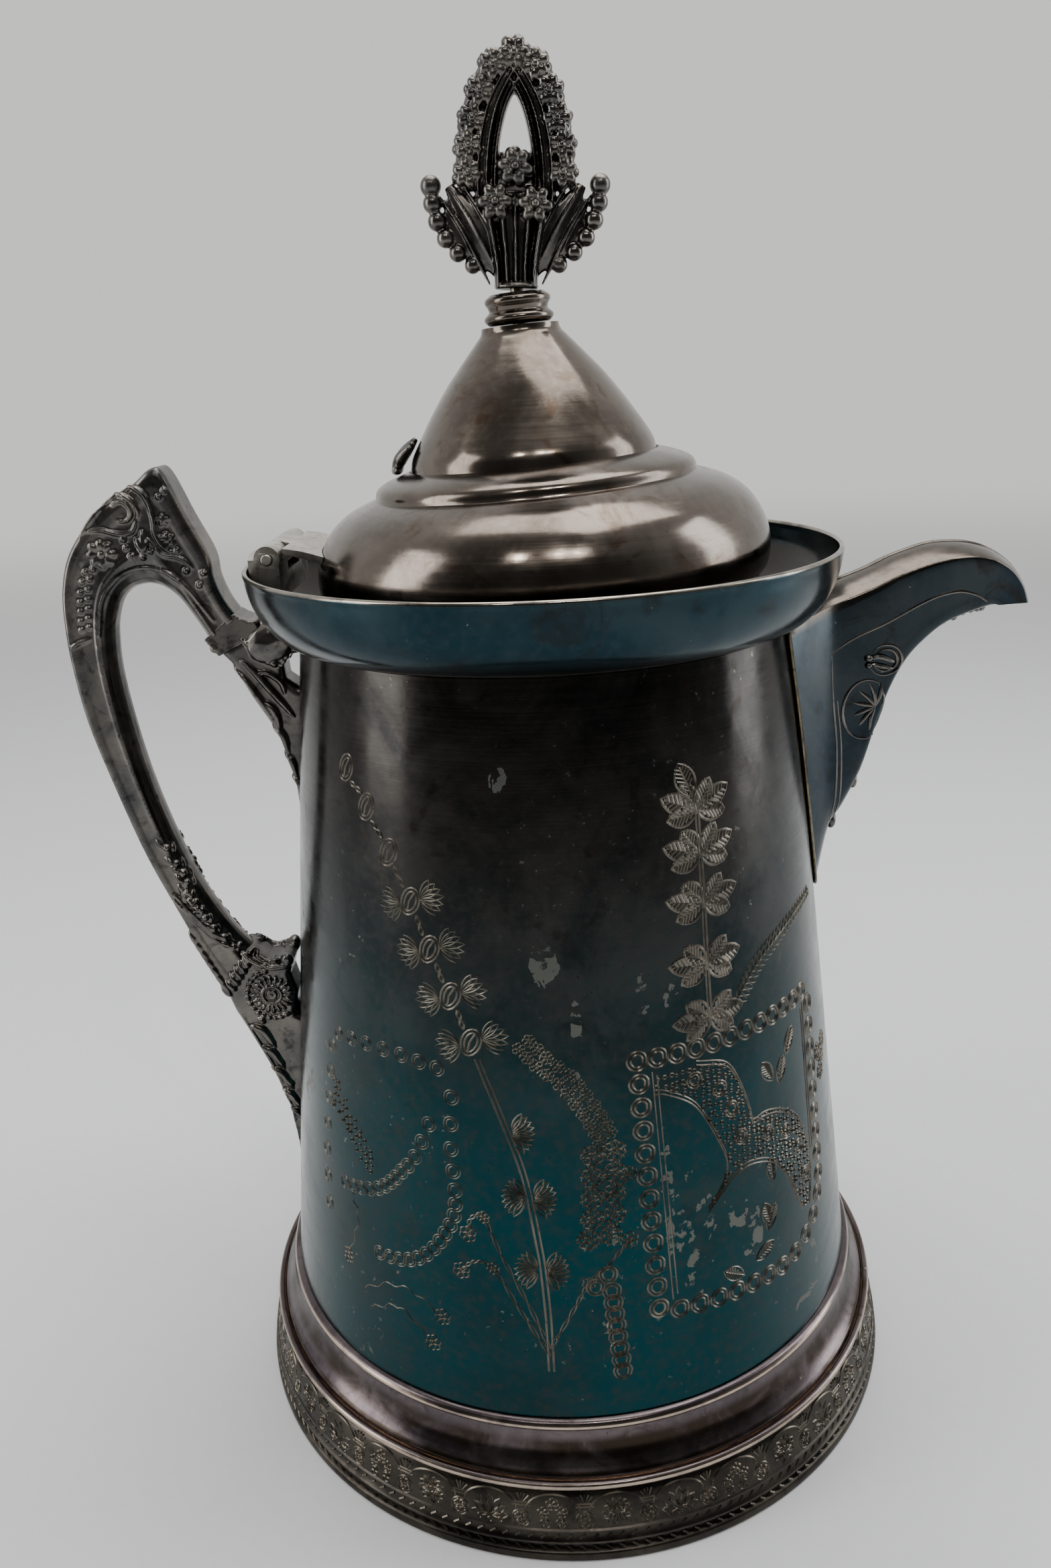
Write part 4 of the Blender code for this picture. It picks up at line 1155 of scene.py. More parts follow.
def make_spout_ornament():
    """Raised panel borders, a bud and a fan on each side, and knots on the keel."""
    relief = Relief(spout_near_skin())
    border = [(0.0698, 0.2001), (0.0757, 0.2035), (0.0837, 0.2069), (0.0916, 0.2110),
              (0.0962, 0.2129), (0.1006, 0.2137), (0.1031, 0.2134), (0.1061, 0.2123),
              (0.1085, 0.2106)]
    relief.ridge(border, 0.00045, 0.0004, 6, 0.5)
    down = [(0.0699, 0.2001), (0.0710, 0.1879), (0.0726, 0.1754), (0.0729, 0.1624),
            (0.0717, 0.1552)]
    relief.ridge(down, 0.00035, 0.0003, 6, 0.5)
    relief.ridge([(x + 0.0012, z) for x, z in down[1:]], 0.0003, 0.0003, 6, 0.4)
    for offset in (0.0, 0.0012):
        relief.ridge(arc((0.0840, 0.1975), 0.0042 - offset, 150, -150, 14, 0.92),
                     0.00042, 0.0005, 2, 0.3)
    relief.ridge([(0.0796, 0.1979), (0.0826, 0.1985), (0.0866, 0.1966)], 0.0008, 0.0011)
    relief.ridge([(0.0800, 0.1968), (0.0830, 0.1961), (0.0862, 0.1950)], 0.0007, 0.0010)
    relief.blob(0.0797, 0.1982, 0.0012, 0.0010, 0.0012)
    relief.blob(0.0798, 0.1964, 0.0010, 0.0009, 0.0011)
    fan = (0.0797, 0.1850)
    relief.ridge(arc(fan, 0.0060, 60, 300, 16, 1.28), 0.00045, 0.00045, 2, 0.5)
    relief.ridge([(0.0828, 0.1917), (0.0842, 0.1880), (0.0838, 0.1838),
                  (0.0826, 0.1795)], 0.0004, 0.0004)
    root = (0.0822, 0.1856)
    for blade in range(7):
        angle = 78.0 + 30.0 * blade
        tip = polar(root, 0.0058, angle, 0.0064 / 0.0058)
        bend = 0.0005 * math.sin(math.radians(angle))
        middle = ((root[0] + tip[0]) / 2.0 + bend, (root[1] + tip[1]) / 2.0)
        relief.ridge([root, middle, tip], 0.0006, 0.0006, 3)
    builder = relief.both_faces()
    keel = [row[-1] for row in spout_skin(0.0)]
    random.seed(7)
    for index in range(9, len(keel) - 8, 2):
        size = 0.0011 + 0.0004 * random.random()
        place = Vector((keel[index].x, 0.0, keel[index].z))
        for side in (-1.0, 0.0, 1.0):
            add_blob(builder, place + Vector((0.0, side * 0.0024, 0.0)),
                     (size * 0.8, size * 1.1, size * 1.3))
    for x, z, size in ((0.0795, 0.1640, 0.0022), (0.0742, 0.1532, 0.0024)):
        for side in (-1.0, 0.0, 1.0):
            add_blob(builder, Vector((x - 0.0006 * abs(side), side * 0.0026, z)),
                     (size * 0.55, size * 0.7, size))
    make_piece("spout_ornament", builder, "cast")


# --------------------------------------------------------------------------- handle

def grip_pairs():
    """Matching points on the grip's outer and inner line, from the ferrule round."""
    return [((-0.0766, 0.2143), (-0.0849, 0.2086)), ((-0.0794, 0.2190), (-0.0872, 0.2132)),
            ((-0.0812, 0.2245), (-0.0905, 0.2187)), ((-0.0818, 0.2305), (-0.0928, 0.2211)),
            ((-0.0859, 0.2400), (-0.0948, 0.2224)), ((-0.0902, 0.2503), (-0.0966, 0.2230)),
            ((-0.0933, 0.2513), (-0.0980, 0.2233)), ((-0.0978, 0.2480), (-0.0992, 0.2233)),
            ((-0.1048, 0.2440), (-0.1006, 0.2231)), ((-0.1115, 0.2380), (-0.1024, 0.2225)),
            ((-0.1165, 0.2312), (-0.1046, 0.2208)), ((-0.1192, 0.2230), (-0.1066, 0.2174)),
            ((-0.1200, 0.2140), (-0.1082, 0.2115)), ((-0.1198, 0.2035), (-0.1087, 0.2010)),
            ((-0.1182, 0.1890), (-0.1074, 0.1870)), ((-0.1140, 0.1712), (-0.1050, 0.1720)),
            ((-0.1087, 0.1521), (-0.1010, 0.1560)), ((-0.1024, 0.1352), (-0.0962, 0.1422)),
            ((-0.0975, 0.1226), (-0.0897, 0.1296)), ((-0.0926, 0.1112), (-0.0833, 0.1212))]


def grip_section(outer, inner, half):
    """Closed section between an outer and an inner point, with moulded side faces."""
    moulding = [(0.00, 0.00), (0.00, 0.66), (0.02, 0.88), (0.07, 0.98), (0.15, 1.00),
                (0.24, 0.98), (0.30, 0.93), (0.52, 0.92), (0.62, 0.94), (0.68, 1.00),
                (0.74, 0.97), (0.84, 0.80), (0.93, 0.55), (0.98, 0.30), (1.00, 0.00)]
    far_side = [(share, -side) for share, side in moulding[-2:0:-1]]
    loop = []
    for share, side in moulding + far_side:
        place = outer.lerp(inner, share)
        loop.append(Vector((place.x, -half * side, place.y)))
    return loop


def make_grip():
    outer, inner = [flowing(line, 6) for line in zip(*grip_pairs())]
    blank = solid(add_loft, [grip_section(a, b, 0.0059) for a, b in zip(outer, inner)])
    cast_piece("grip", blank, carve_grip, 2.0 * GAP, 0.00031, "handle_grip")


def carve_grip(relief):
    carve_grip_head(relief)
    carve_grip_tail(relief)


def carve_grip_head(relief):
    """Scrolls, flowers and beads on the head of the grip."""
    relief.ridge([(-0.1030, 0.2462), (-0.0992, 0.2473), (-0.0970, 0.2470),
                  (-0.0951, 0.2455), (-0.0940, 0.2425), (-0.0936, 0.2391),
                  (-0.0937, 0.2364), (-0.0928, 0.2336), (-0.0911, 0.2319),
                  (-0.0893, 0.2316)], 0.0007, 0.0011, 4)
    relief.ridge([(-0.0958, 0.2352), (-0.0945, 0.2332), (-0.0926, 0.2309),
                  (-0.0893, 0.2302), (-0.0873, 0.2291), (-0.0856, 0.2271)], 0.0005,
                 0.0007, 4)
    relief.ridge(arc((-0.1011, 0.2418), 0.0024, 150, -120, 12), 0.0006, 0.0010, 2)
    relief.ridge(arc((-0.1016, 0.2412), 0.0044, 165, -20, 12), 0.0006, 0.0010, 2)
    relief.ridge([(-0.1109, 0.2372), (-0.1067, 0.2376), (-0.1028, 0.2364),
                  (-0.0992, 0.2368), (-0.0976, 0.2400)], 0.0006, 0.0009, 4)
    relief.ridge([(-0.1124, 0.2358), (-0.1085, 0.2402), (-0.1046, 0.2436)], 0.0007,
                 0.0009, 4)
    relief.flower(-0.1076, 0.2317, 0.0036, 8, 0.0009)
    for x, z, size in ((-0.1016, 0.2351, 9), (-0.1013, 0.2330, 7), (-0.1003, 0.2310, 7),
                       (-0.0974, 0.2306, 8), (-0.0951, 0.2318, 7), (-0.0873, 0.2268, 9),
                       (-0.0845, 0.2232, 9), (-0.0831, 0.2261, 8)):
        relief.blob(x, z, size * 0.0001, size * 0.0001, size * 0.00011)
    for tip_x, tip_z in ((-0.0968, 0.2372), (-0.0956, 0.2350), (-0.0985, 0.2356)):
        relief.ridge([(-0.0972, 0.2316), ((tip_x - 0.0972) / 2.0, (tip_z + 0.2316) / 2.0),
                      (tip_x, tip_z)], 0.0009, 0.0011, 3)
    relief.flower(-0.0911, 0.2343, 0.0021, 6, 0.0008)
    relief.flower(-0.0912, 0.2392, 0.0015, 5, 0.0007)
    for x, z in ((-0.0900, 0.2462), (-0.0914, 0.2448), (-0.0890, 0.2318)):
        relief.blob(x, z, 0.0008, 0.0008, 0.0008)
    column = [(-0.1112, 0.2279), (-0.1124, 0.2255), (-0.1133, 0.2229), (-0.1137, 0.2205),
              (-0.1140, 0.2182), (-0.1144, 0.2158), (-0.1146, 0.2136)]
    for index, (x, z) in enumerate(column):
        size = 0.00085 - 0.00004 * index
        for side in (-1.0, 1.0):
            relief.blob(x + side * 0.0010, z + side * 0.0003, size, size, size)
    relief.ridge([(-0.1194, 0.2083), (-0.1171, 0.2098), (-0.1135, 0.2110)], 0.0005,
                 0.0006, 4)
    relief.ridge([(-0.1114, 0.2116), (-0.1095, 0.2199), (-0.1062, 0.2247),
                  (-0.1017, 0.2275), (-0.0974, 0.2280), (-0.0919, 0.2265),
                  (-0.0875, 0.2222), (-0.0847, 0.2179), (-0.0822, 0.2140)], 0.00045,
                 0.0006, 6, 0.5)


def carve_grip_tail(relief):
    """Trail of beads and leaves down the lower end of the grip."""
    trail = [(-0.1026, 0.1541), (-0.1008, 0.1494), (-0.0994, 0.1465), (-0.0987, 0.1439),
             (-0.0989, 0.1410), (-0.0985, 0.1386), (-0.0968, 0.1363), (-0.0950, 0.1335),
             (-0.0932, 0.1303), (-0.0908, 0.1271), (-0.0886, 0.1243)]
    random.seed(11)
    for index, (x, z) in enumerate(trail):
        size = 0.0007 + 0.0005 * random.random()
        relief.blob(x, z, size, size, size)
        turn = 125.0 + 30.0 * math.sin(index)
        relief.blob(x - 0.0016, z + 0.0012, 0.0016, 0.0006, 0.0008, turn)
        relief.blob(x + 0.0012, z - 0.0004, 0.0014, 0.0006, 0.0007, turn - 60.0)
    for shift in (0.0, 0.0016):
        relief.ridge([(-0.1026, 0.1391 + shift), (-0.0983, 0.1332 + shift),
                      (-0.0930, 0.1272 + shift), (-0.0884, 0.1236 + shift)], 0.0007,
                     0.0011, 5, 0.4)
    for step in range(7):
        relief.blob(-0.0990 + 0.0011 * step, 0.1270 - 0.0024 * step, 0.0030, 0.0010,
                    0.0010, 118.0)


def make_grip_ferrule():
    """Solid neck with a beaded ring, where the grip enters the upper bracket."""
    along = Vector((0.90, 0.0, 0.44)).normalized()
    across = Vector((0.44, 0.0, -0.90)).normalized()
    middle = Vector((-0.0789, 0.0, 0.2101)) + across * 0.0010
    builder = bmesh.new()
    count = 40
    for offset in (-0.0009, 0.0009):
        points = []
        outs = []
        for step in range(count):
            turn = 2.0 * math.pi * step / count
            out = along * (0.0056 * boxy(math.cos(turn)))
            out += Vector((0.0, 0.0060 * boxy(math.sin(turn)), 0.0))
            points.append(middle + across * offset + out)
            outs.append(out.normalized())
        add_tube(builder, points, 0.0005, 0.0005, outs, 8, True)
        if offset > 0.0:
            for point in points[::2]:
                add_blob(builder, point - across * 0.0009, (0.0013, 0.0013, 0.0013))
    neck = [(middle + along * a + across * b) for a, b in
            ((-0.0061, -0.0032), (0.0037, -0.0052), (0.0046, -0.0036), (0.0060, -0.0020),
             (0.0076, -0.0010), (0.0076, 0.0022), (-0.0052, 0.0022))]
    core = solid(add_sheet, [(point.x, point.z) for point in neck], 0.0112)
    builder.from_mesh(mesh_of("core", core))
    ring = make_piece("grip_ring", builder, "cast", "handle_ferrule")
    combine(ring, body_envelope(2.0 * GAP), "DIFFERENCE")
    settle(ring)
    fuse(ring, 0.00028, 1)


def boxy(value):
    """Push a cosine or sine towards its ends, which squares a circle's corners."""
    return math.copysign(abs(value) ** 0.45, value)


def make_bracket(name, outline, carve, node):
    """Cast bracket from an outline in XZ, with soft edges and ornament."""
    blank = make_piece("bracket_blank", solid(add_sheet, outline, 0.0110), "cast")
    settle(soft_edges(blank, 0.0021, 4, 50.0))
    cast_piece(name, reopened(blank), carve, -0.0003, 0.00029, node)


def carve_upper_bracket(relief):
    """Cup with a beaded edge, and a long ribbed leaf down the wall."""
    relief.blob(-0.0690, 0.2078, 0.0062, 0.0050, 0.0022, 20.0)
    rim = flowing([(-0.0772, 0.2112), (-0.0745, 0.2082), (-0.0722, 0.2054),
                   (-0.0697, 0.2032), (-0.0669, 0.2023), (-0.0640, 0.2033)], 4)
    for x, z in rim[::2]:
        relief.blob(x, z, 0.0009, 0.0009, 0.0011)
    relief.ridge([(-0.0768, 0.2038), (-0.0735, 0.2005), (-0.0706, 0.1965),
                  (-0.0676, 0.1925), (-0.0648, 0.1884)], 0.0009, 0.0014, 4)
    relief.ridge([(-0.0790, 0.2022), (-0.0760, 0.1985), (-0.0730, 0.1935),
                  (-0.0700, 0.1880), (-0.0678, 0.1820), (-0.0667, 0.1755)], 0.0008,
                 0.0012, 4)
    relief.ridge([(-0.0735, 0.2005), (-0.0700, 0.2000), (-0.0672, 0.1975),
                  (-0.0665, 0.1945)], 0.0007, 0.0011, 4)
    for step in range(4):
        z = 0.1930 - 0.0064 * step
        x = -0.0722 + 0.0042 * step / 3
        relief.ridge([(x, z), (x + 0.0026, z - 0.0030), (x + 0.0036, z - 0.0085)],
                     0.0010, 0.0013, 4)


def carve_lower_bracket(relief):
    """Curled end of the grip, a rosette, and a long ribbed leaf down the wall."""
    centre = (-0.0797, 0.1093)
    for radius, width in ((0.0011, 0.0005), (0.0026, 0.0005)):
        relief.ridge(arc(centre, radius, 90, 449, 16), width, 0.0008, 1, 1.0)
    relief.blob(*centre, 0.0006, 0.0006, 0.0011)
    for step in range(20):
        angle = 360.0 * step / 20
        relief.blob(*polar(centre, 0.0044, angle), 0.0015, 0.00048, 0.0008, angle)
    for x, z in arc(centre, 0.0067, 100.0, 300.0, 14, 0.0072 / 0.0067):
        relief.blob(x, z, 0.0008, 0.0007, 0.0011)
    curl = [(-0.0890, 0.1248), (-0.0858, 0.1217), (-0.0828, 0.1194), (-0.0798, 0.1180),
            (-0.0770, 0.1178), (-0.0748, 0.1184), (-0.0736, 0.1196)]
    relief.ridge(curl, 0.0010, 0.0020, 4, 0.7)
    relief.ridge([(x + 0.0006, z + 0.0018) for x, z in curl[1:]], 0.0008, 0.0017, 4, 0.7)
    relief.blob(-0.0740, 0.1202, 0.0020, 0.0019, 0.0030)
    random.seed(5)
    for step in range(5):
        share = step / 4
        x = -0.0868 + 0.0072 * share
        z = 0.1000 - 0.0270 * share
        relief.ridge([(x, z), (x + 0.0034, z - 0.0018), (x + 0.0062, z - 0.0075)],
                     0.0012 - 0.0004 * share, 0.0014, 4)
        relief.blob(x + 0.0026 + 0.0012 * random.random(), z + 0.0014, 0.0013, 0.0008,
                    0.0012, -40.0)
    for step in range(6):
        relief.blob(-0.0921 + 0.0013 * step, 0.1112 + 0.0018 * step, 0.0026, 0.0011,
                    0.0016, 128.0 - 5.0 * step)
    relief.ridge([(-0.0890, 0.1035), (-0.0850, 0.0945), (-0.0818, 0.0870),
                  (-0.0795, 0.0790), (-0.0784, 0.0700), (-0.0781, 0.0600)], 0.0006,
                 0.0009, 5)


def make_brackets():
    upper = [(-0.0826, 0.2064), (-0.0795, 0.2029), (-0.0779, 0.1993), (-0.0754, 0.1940),
             (-0.0704, 0.1850), (-0.0680, 0.1788), (-0.0668, 0.1725), (-0.0662, 0.1600),
             (-0.0600, 0.1600), (-0.0600, 0.1958), (-0.0632, 0.1962), (-0.0662, 0.1985),
             (-0.0664, 0.2020), (-0.0646, 0.2044), (-0.0600, 0.2050), (-0.0600, 0.2150),
             (-0.0711, 0.2150), (-0.0722, 0.2110)]
    make_bracket("cup_bracket", upper, carve_upper_bracket, "upper_bracket")
    lower = [(-0.0934, 0.1128), (-0.0907, 0.1040), (-0.0884, 0.0990), (-0.0857, 0.0927),
             (-0.0828, 0.0868), (-0.0804, 0.0805), (-0.0786, 0.0735), (-0.0779, 0.0660),
             (-0.0776, 0.0560), (-0.0700, 0.0560), (-0.0700, 0.1010), (-0.0738, 0.1030),
             (-0.0728, 0.1090), (-0.0742, 0.1150), (-0.0731, 0.1185), (-0.0745, 0.1208),
             (-0.0772, 0.1196), (-0.0800, 0.1194), (-0.0852, 0.1236)]
    make_bracket("rosette_bracket", lower, carve_lower_bracket, "lower_bracket")


# --------------------------------------------------------------------------- finial

def add_blossom(builder, centre, radius, depth, petals=6):
    """Cupped flower on the front and the back, with smaller petals round its edge."""
    centre = Vector(centre)
    add_blob(builder, centre, (radius * 0.72, depth * 0.72, radius * 0.72))
    start = 2.0 * math.pi * random.random()
    for side in (-1.0, 1.0):
        for step in range(petals):
            turn = start + 2.0 * math.pi * step / petals
            out = Vector((math.cos(turn), 0.0, math.sin(turn)))
            lean = (out * 0.45 + Vector((0.0, side, 0.0))).normalized()
            frame_turn = Matrix((out.cross(lean), lean.cross(out.cross(lean)),
                                 lean)).transposed()
            place = centre + out * (radius * 0.60) + Vector((0.0, side * depth * 0.66, 0))
            add_blob(builder, place, (radius * 0.34, radius * 0.42, depth * 0.24),
                     frame_turn)
        add_blob(builder, centre + Vector((0.0, side * depth * 0.82, 0.0)),
                 (radius * 0.24, depth * 0.24, radius * 0.24))
    for step in range(petals + 1):
        turn = start + 0.4 + 2.0 * math.pi * step / (petals + 1)
        out = Vector((math.cos(turn), 0.0, math.sin(turn)))
        add_blob(builder, centre + out * (radius * 0.74),
                 (radius * 0.34, depth * 0.46, radius * 0.34))


def add_rib(builder, points, width, depth, ends=1.0):
    """Bar through (x, height) points in the finial's plane, thinner at its ends."""
    places = [Vector((x, 0.0, height)) for x, height in flowing(points, 5)]
    count = len(places)
    add_tube(builder, places, tapered(width, count, ends), tapered(depth, count, ends),
             Vector((0.0, -1.0, 0.0)))


def make_finial():
    """Flower-edged pointed arch on a fluted stem, with beaded wings."""
    builder = bmesh.new()
    random.seed(3)
    add_rib(builder, [(0.0, 0.0), (0.0, 0.008), (0.0, 0.020)], 0.0050, 0.0026)
    for flute in (-2, -1, 0, 1, 2):
        add_rib(builder, [(flute * 0.00205, 0.0002), (flute * 0.0022, 0.0060),
                          (flute * 0.0030, 0.0150), (flute * 0.0034, 0.0195)], 0.0009,
                0.0036)
    for side in (-1.0, 1.0):
        leg = [(0.0071, 0.0175), (0.0071, 0.0240), (0.0064, 0.0310), (0.0047, 0.0375),
               (0.0020, 0.0425), (0.0002, 0.0449)]
        for shift, width, depth in ((0.0, 0.0021, 0.0024), (0.0012, 0.0005, 0.0033),
                                    (-0.0007, 0.0005, 0.0033), (-0.0026, 0.0006, 0.0028)):
            add_rib(builder, [(side * (x + shift), height) for x, height in leg], width,
                    depth)
        blossoms = [(0.0046, 0.0455), (0.0076, 0.0405), (0.0094, 0.0350),
                    (0.0104, 0.0296), (0.0107, 0.0241)]
        for x, height in blossoms:
            add_blossom(builder, (side * x, 0.0, height), 0.0036, 0.0038)
        add_rib(builder, [(side * x, height) for x, height in blossoms], 0.0028, 0.0022)
        wing = [(0.0040, 0.0030), (0.0072, 0.0090), (0.0104, 0.0148), (0.0152, 0.0218)]
        add_rib(builder, [(side * x, height) for x, height in wing], 0.0035, 0.0018, 0.3)
        for shift in (-0.0029, 0.0, 0.0029):
            add_rib(builder, [(side * (x - shift * 0.7), height + shift * 0.7)
                              for x, height in wing], 0.0007, 0.0023, 0.3)
        web = [(0.0050, 0.0040), (0.0105, 0.0080), (0.0138, 0.0125), (0.0158, 0.0190)]
        add_rib(builder, [(side * x, height) for x, height in web], 0.0016, 0.0010, 0.6)
        beads = [(0.0100, 0.0052, 19), (0.0134, 0.0078, 20), (0.0161, 0.0109, 21),
                 (0.0179, 0.0145, 22), (0.0189, 0.0182, 22), (0.0192, 0.0218, 24)]
        for x, height, size in beads:
            radius = size * 0.0001
            add_blob(builder, (side * x, 0.0, height), (radius, radius, radius), None, 3)
    add_blossom(builder, (0.0, 0.0, 0.0478), 0.0038, 0.0038)
    for x, height in ((0.0, 0.0252), (-0.0046, 0.0182), (0.0045, 0.0176)):
        add_blossom(builder, (x, 0.0, height), 0.0044, 0.0050)
    add_rib(builder, [(-0.0060, 0.0200), (0.0, 0.0215), (0.0060, 0.0200)], 0.0036, 0.0022)
    stem_foot = [(0.0, 0.0), (0.0048, 0.0), (0.0052, 0.0006), (0.0044, 0.0014),
                 (0.0, 0.0014)]
    add_turned(builder, stem_foot, 24)
    fuse(make_piece("flower_finial", builder, "cast", "finial", "lid", FINIAL_PLACE),
         0.00025, 1)


# ------------------------------------------------------------------------ engraving

# Millimetres to a degree along the wall, at the middle of its height.
MM_PER_DEGREE = 1.22


def band_radius(z):
    """Radius of the border band of the foot at height z."""
    return 0.0889 + (z - 0.0062) * (0.0869 - 0.0889) / (0.0168 - 0.0062)


class Engraver:
    """Low sharp ridges along lines drawn on a surface of revolution.

    A line is a list of (degrees, height) points.  A motif is a list of lines, each a
    closed flag and points in millimetres, and `stamp` places it.  A pen is the half
    width and the height of a ridge, in millimetres.
    """

    def __init__(self, radius):
        self.radius = radius
        self.builder = bmesh.new()

    def line(self, points, pen=(0.28, 0.22), closed=False):
        places = []
        outs = []
        for angle, z in points:
            turn = math.radians(angle)
            over = [Vector((radius * math.sin(turn), -radius * math.cos(turn), z))
                    for radius in (self.radius(z), self.radius(z) + MM)]
            places.append(over[0])
            outs.append((over[1] - over[0]).normalized())
        add_tube(self.builder, places, pen[0] * MM, pen[1] * MM, outs, 4, closed)

    def stamp(self, centre, lines, turn=0.0, pen=(0.26, 0.22)):
        """Place a motif at (degrees, height), turned by an angle in degrees."""
        for closed, points in lines:
            placed = []
            for x, y in points:
                across, up = rotated(x, y, turn)
                z = centre[1] + up * MM
                placed.append((centre[0] + math.degrees(across * MM / self.radius(z)), z))
            self.line(placed, pen, closed)


def oval(width, height, count=14, at=(0.0, 0.0)):
    return (True, [polar(at, width / 2.0, 360.0 * step / count, height / width)
                   for step in range(count)])


def petal(length, width, angle, start=0.0, at=(0.0, 0.0), count=6):
    """Closed outline of a leaf or petal that points away from its centre."""
    upper = []
    for step in range(count + 1):
        share = step / count
        upper.append((start + (length - start) * share,
                      width / 2.0 * math.sin(math.pi * share) ** 0.75))
    lower = [(x, -y) for x, y in upper[-2:0:-1]]
    spun = [rotated(x, y, angle) for x, y in upper + lower]
    return (True, [(at[0] + x, at[1] + y) for x, y in spun])


def spokes(count, inner, outer, first=0.0, spread=360.0, at=(0.0, 0.0)):
    """Short straight strokes that radiate from a centre."""
    angles = [first + spread * step / count for step in range(count)]
    return [(False, [polar(at, inner, angle), polar(at, outer, angle)]) for angle in angles]


def floret(radius, petals=6, at=(0.0, 0.0)):
    lines = [oval(radius * 0.42, radius * 0.42, 8, at)]
    for step in range(petals):
        angle = 360.0 * step / petals + 20.0
        lines.append(petal(radius, radius * 0.75, angle, radius * 0.28, at, 4))
    return lines


def studded_ring(size=4.7):
    """Two rings, one inside the other, as a punch leaves them."""
    return [oval(size, size, 16), oval(size * 0.62, size * 0.66, 14)]


def veined_leaf(length, width, angle):
    """Leaf outline with a midrib and slanting veins."""
    veins = [((0.0, 0.0), (length * 0.92, 0.0))]
    for step in range(1, 7):
        root = length * (0.06 + 0.12 * step)
        reach = width * 0.42 * math.sin(math.pi * step / 7.5) ** 0.7
        for side in (-1.0, 1.0):
            veins.append(((root, 0.0), (root + reach * 0.75, side * reach)))
    return [petal(length, width, angle, count=8)] + [
        (False, [rotated(x, y, angle) for x, y in vein]) for vein in veins]


def lobed_leaf(length, width, angle):
    """Three veined lobes that spread from one root."""
    lines = []
    for share, turn in ((0.78, -34.0), (0.78, 34.0), (1.0, 0.0)):
        lines += veined_leaf(length * share, width * 0.62, angle + turn)
    return lines


def wavy(points, swing, waves, phase=0.0, steps=6):
    """Line through (degrees, height) points that swings from side to side."""
    curve = flowing(points, steps)
    count = len(curve)
    result = []
    for index, point in enumerate(curve):
        before = curve[max(index - 1, 0)]
        after = curve[min(index + 1, count - 1)]
        run = Vector(((after.x - before.x) * MM_PER_DEGREE * MM, after.y - before.y)).normalized()
        swerve = swing * math.sin(phase + 2.0 * math.pi * waves * index / (count - 1))
        result.append((point.x - run.y * swerve / (MM_PER_DEGREE * MM), point.y + run.x * swerve))
    return result


def engrave_vine(tool, faint):
    """Stem of slit eyelets joined by twisted lines, ending in fan-petalled heads."""
    eyelets = [(-46.5, 0.1866), (-40.2, 0.1789), (-34.3, 0.1696), (-29.2, 0.1593),
               (-25.1, 0.1489), (-20.9, 0.1386), (-17.0, 0.1282)]
    for index, eye in enumerate(eyelets):
        tool.stamp(eye, [oval(4.6, 6.8, 16), oval(2.9, 5.0, 14),
                         (False, [(0.2, -2.6), (-0.3, 0.0), (0.2, 2.6)])], -24.0)
        if index:
            last = eyelets[index - 1]
            gap = [(last[0] + 1.4, last[1] - 0.0030), (eye[0] - 1.4, eye[1] + 0.0030)]
            middle = ((gap[0][0] + gap[1][0]) / 2.0, (gap[0][1] + gap[1][1]) / 2.0)
            for phase in (0.0, math.pi):
                tool.line(wavy([gap[0], middle, gap[1]], 0.0005, 1.0, phase))
        if index > 2:
            for side in (-1.0, 1.0):
                centre = (eye[0] + side * 2.0, eye[1] + 0.0010 * side)
                lines = []
                for blade in range(7):
                    base = 0.0 if side > 0 else 180.0
                    lines.append(petal(6.6 - 0.4 * abs(blade - 3), 1.5,
                                       base + 16.0 * (blade - 3) + 12.0, 0.6))
                faint.stamp(centre, lines, pen=(0.20, 0.16))
    stem = [(-15.9, 0.1245), (-12.0, 0.1120), (-8.6, 0.1000), (-7.0, 0.0909),
            (-5.6, 0.0790), (-5.0, 0.0724), (-4.4, 0.0600), (-4.2, 0.0459)]
    for shift in (-0.45, 0.45):
        tool.line([(point.x + shift, point.y) for point in flowing(stem, 5)])
    for centre, sides in (((-10.6, 0.1070), (1,)), ((-7.0, 0.0909), (-1, 1)),
                          ((-5.2, 0.0724), (-1, 1))):
        for side in sides:
            lines = []
            for blade in range(9):
                angle = 90.0 - side * (28.0 + 15.0 * blade)
                lines.append(petal(5.6, 1.5, angle, 0.8))
            faint.stamp((centre[0] + side * 0.6, centre[1]), lines, pen=(0.26, 0.18))
    tendrils = [[(-4.3, 0.0520), (-8.0, 0.0640), (-12.5, 0.0760), (-15.6, 0.0850),
                 (-18.0, 0.0840), (-18.6, 0.0800)],
                [(-4.3, 0.0500), (-9.0, 0.0610), (-14.0, 0.0720), (-17.5, 0.0730),
                 (-20.0, 0.0700)],
                [(-4.2, 0.0520), (0.0, 0.0620), (3.0, 0.0690), (7.0, 0.0740),
                 (10.5, 0.0790)]]
    for points in tendrils:
        for phase in (0.0, math.pi):
            faint.line(wavy(points, 0.0004, 5.0, phase, 8), (0.20, 0.16))
        faint.stamp(points[-1], floret(2.2), pen=(0.20, 0.16))
        faint.stamp(points[-3], floret(1.6), pen=(0.20, 0.16))


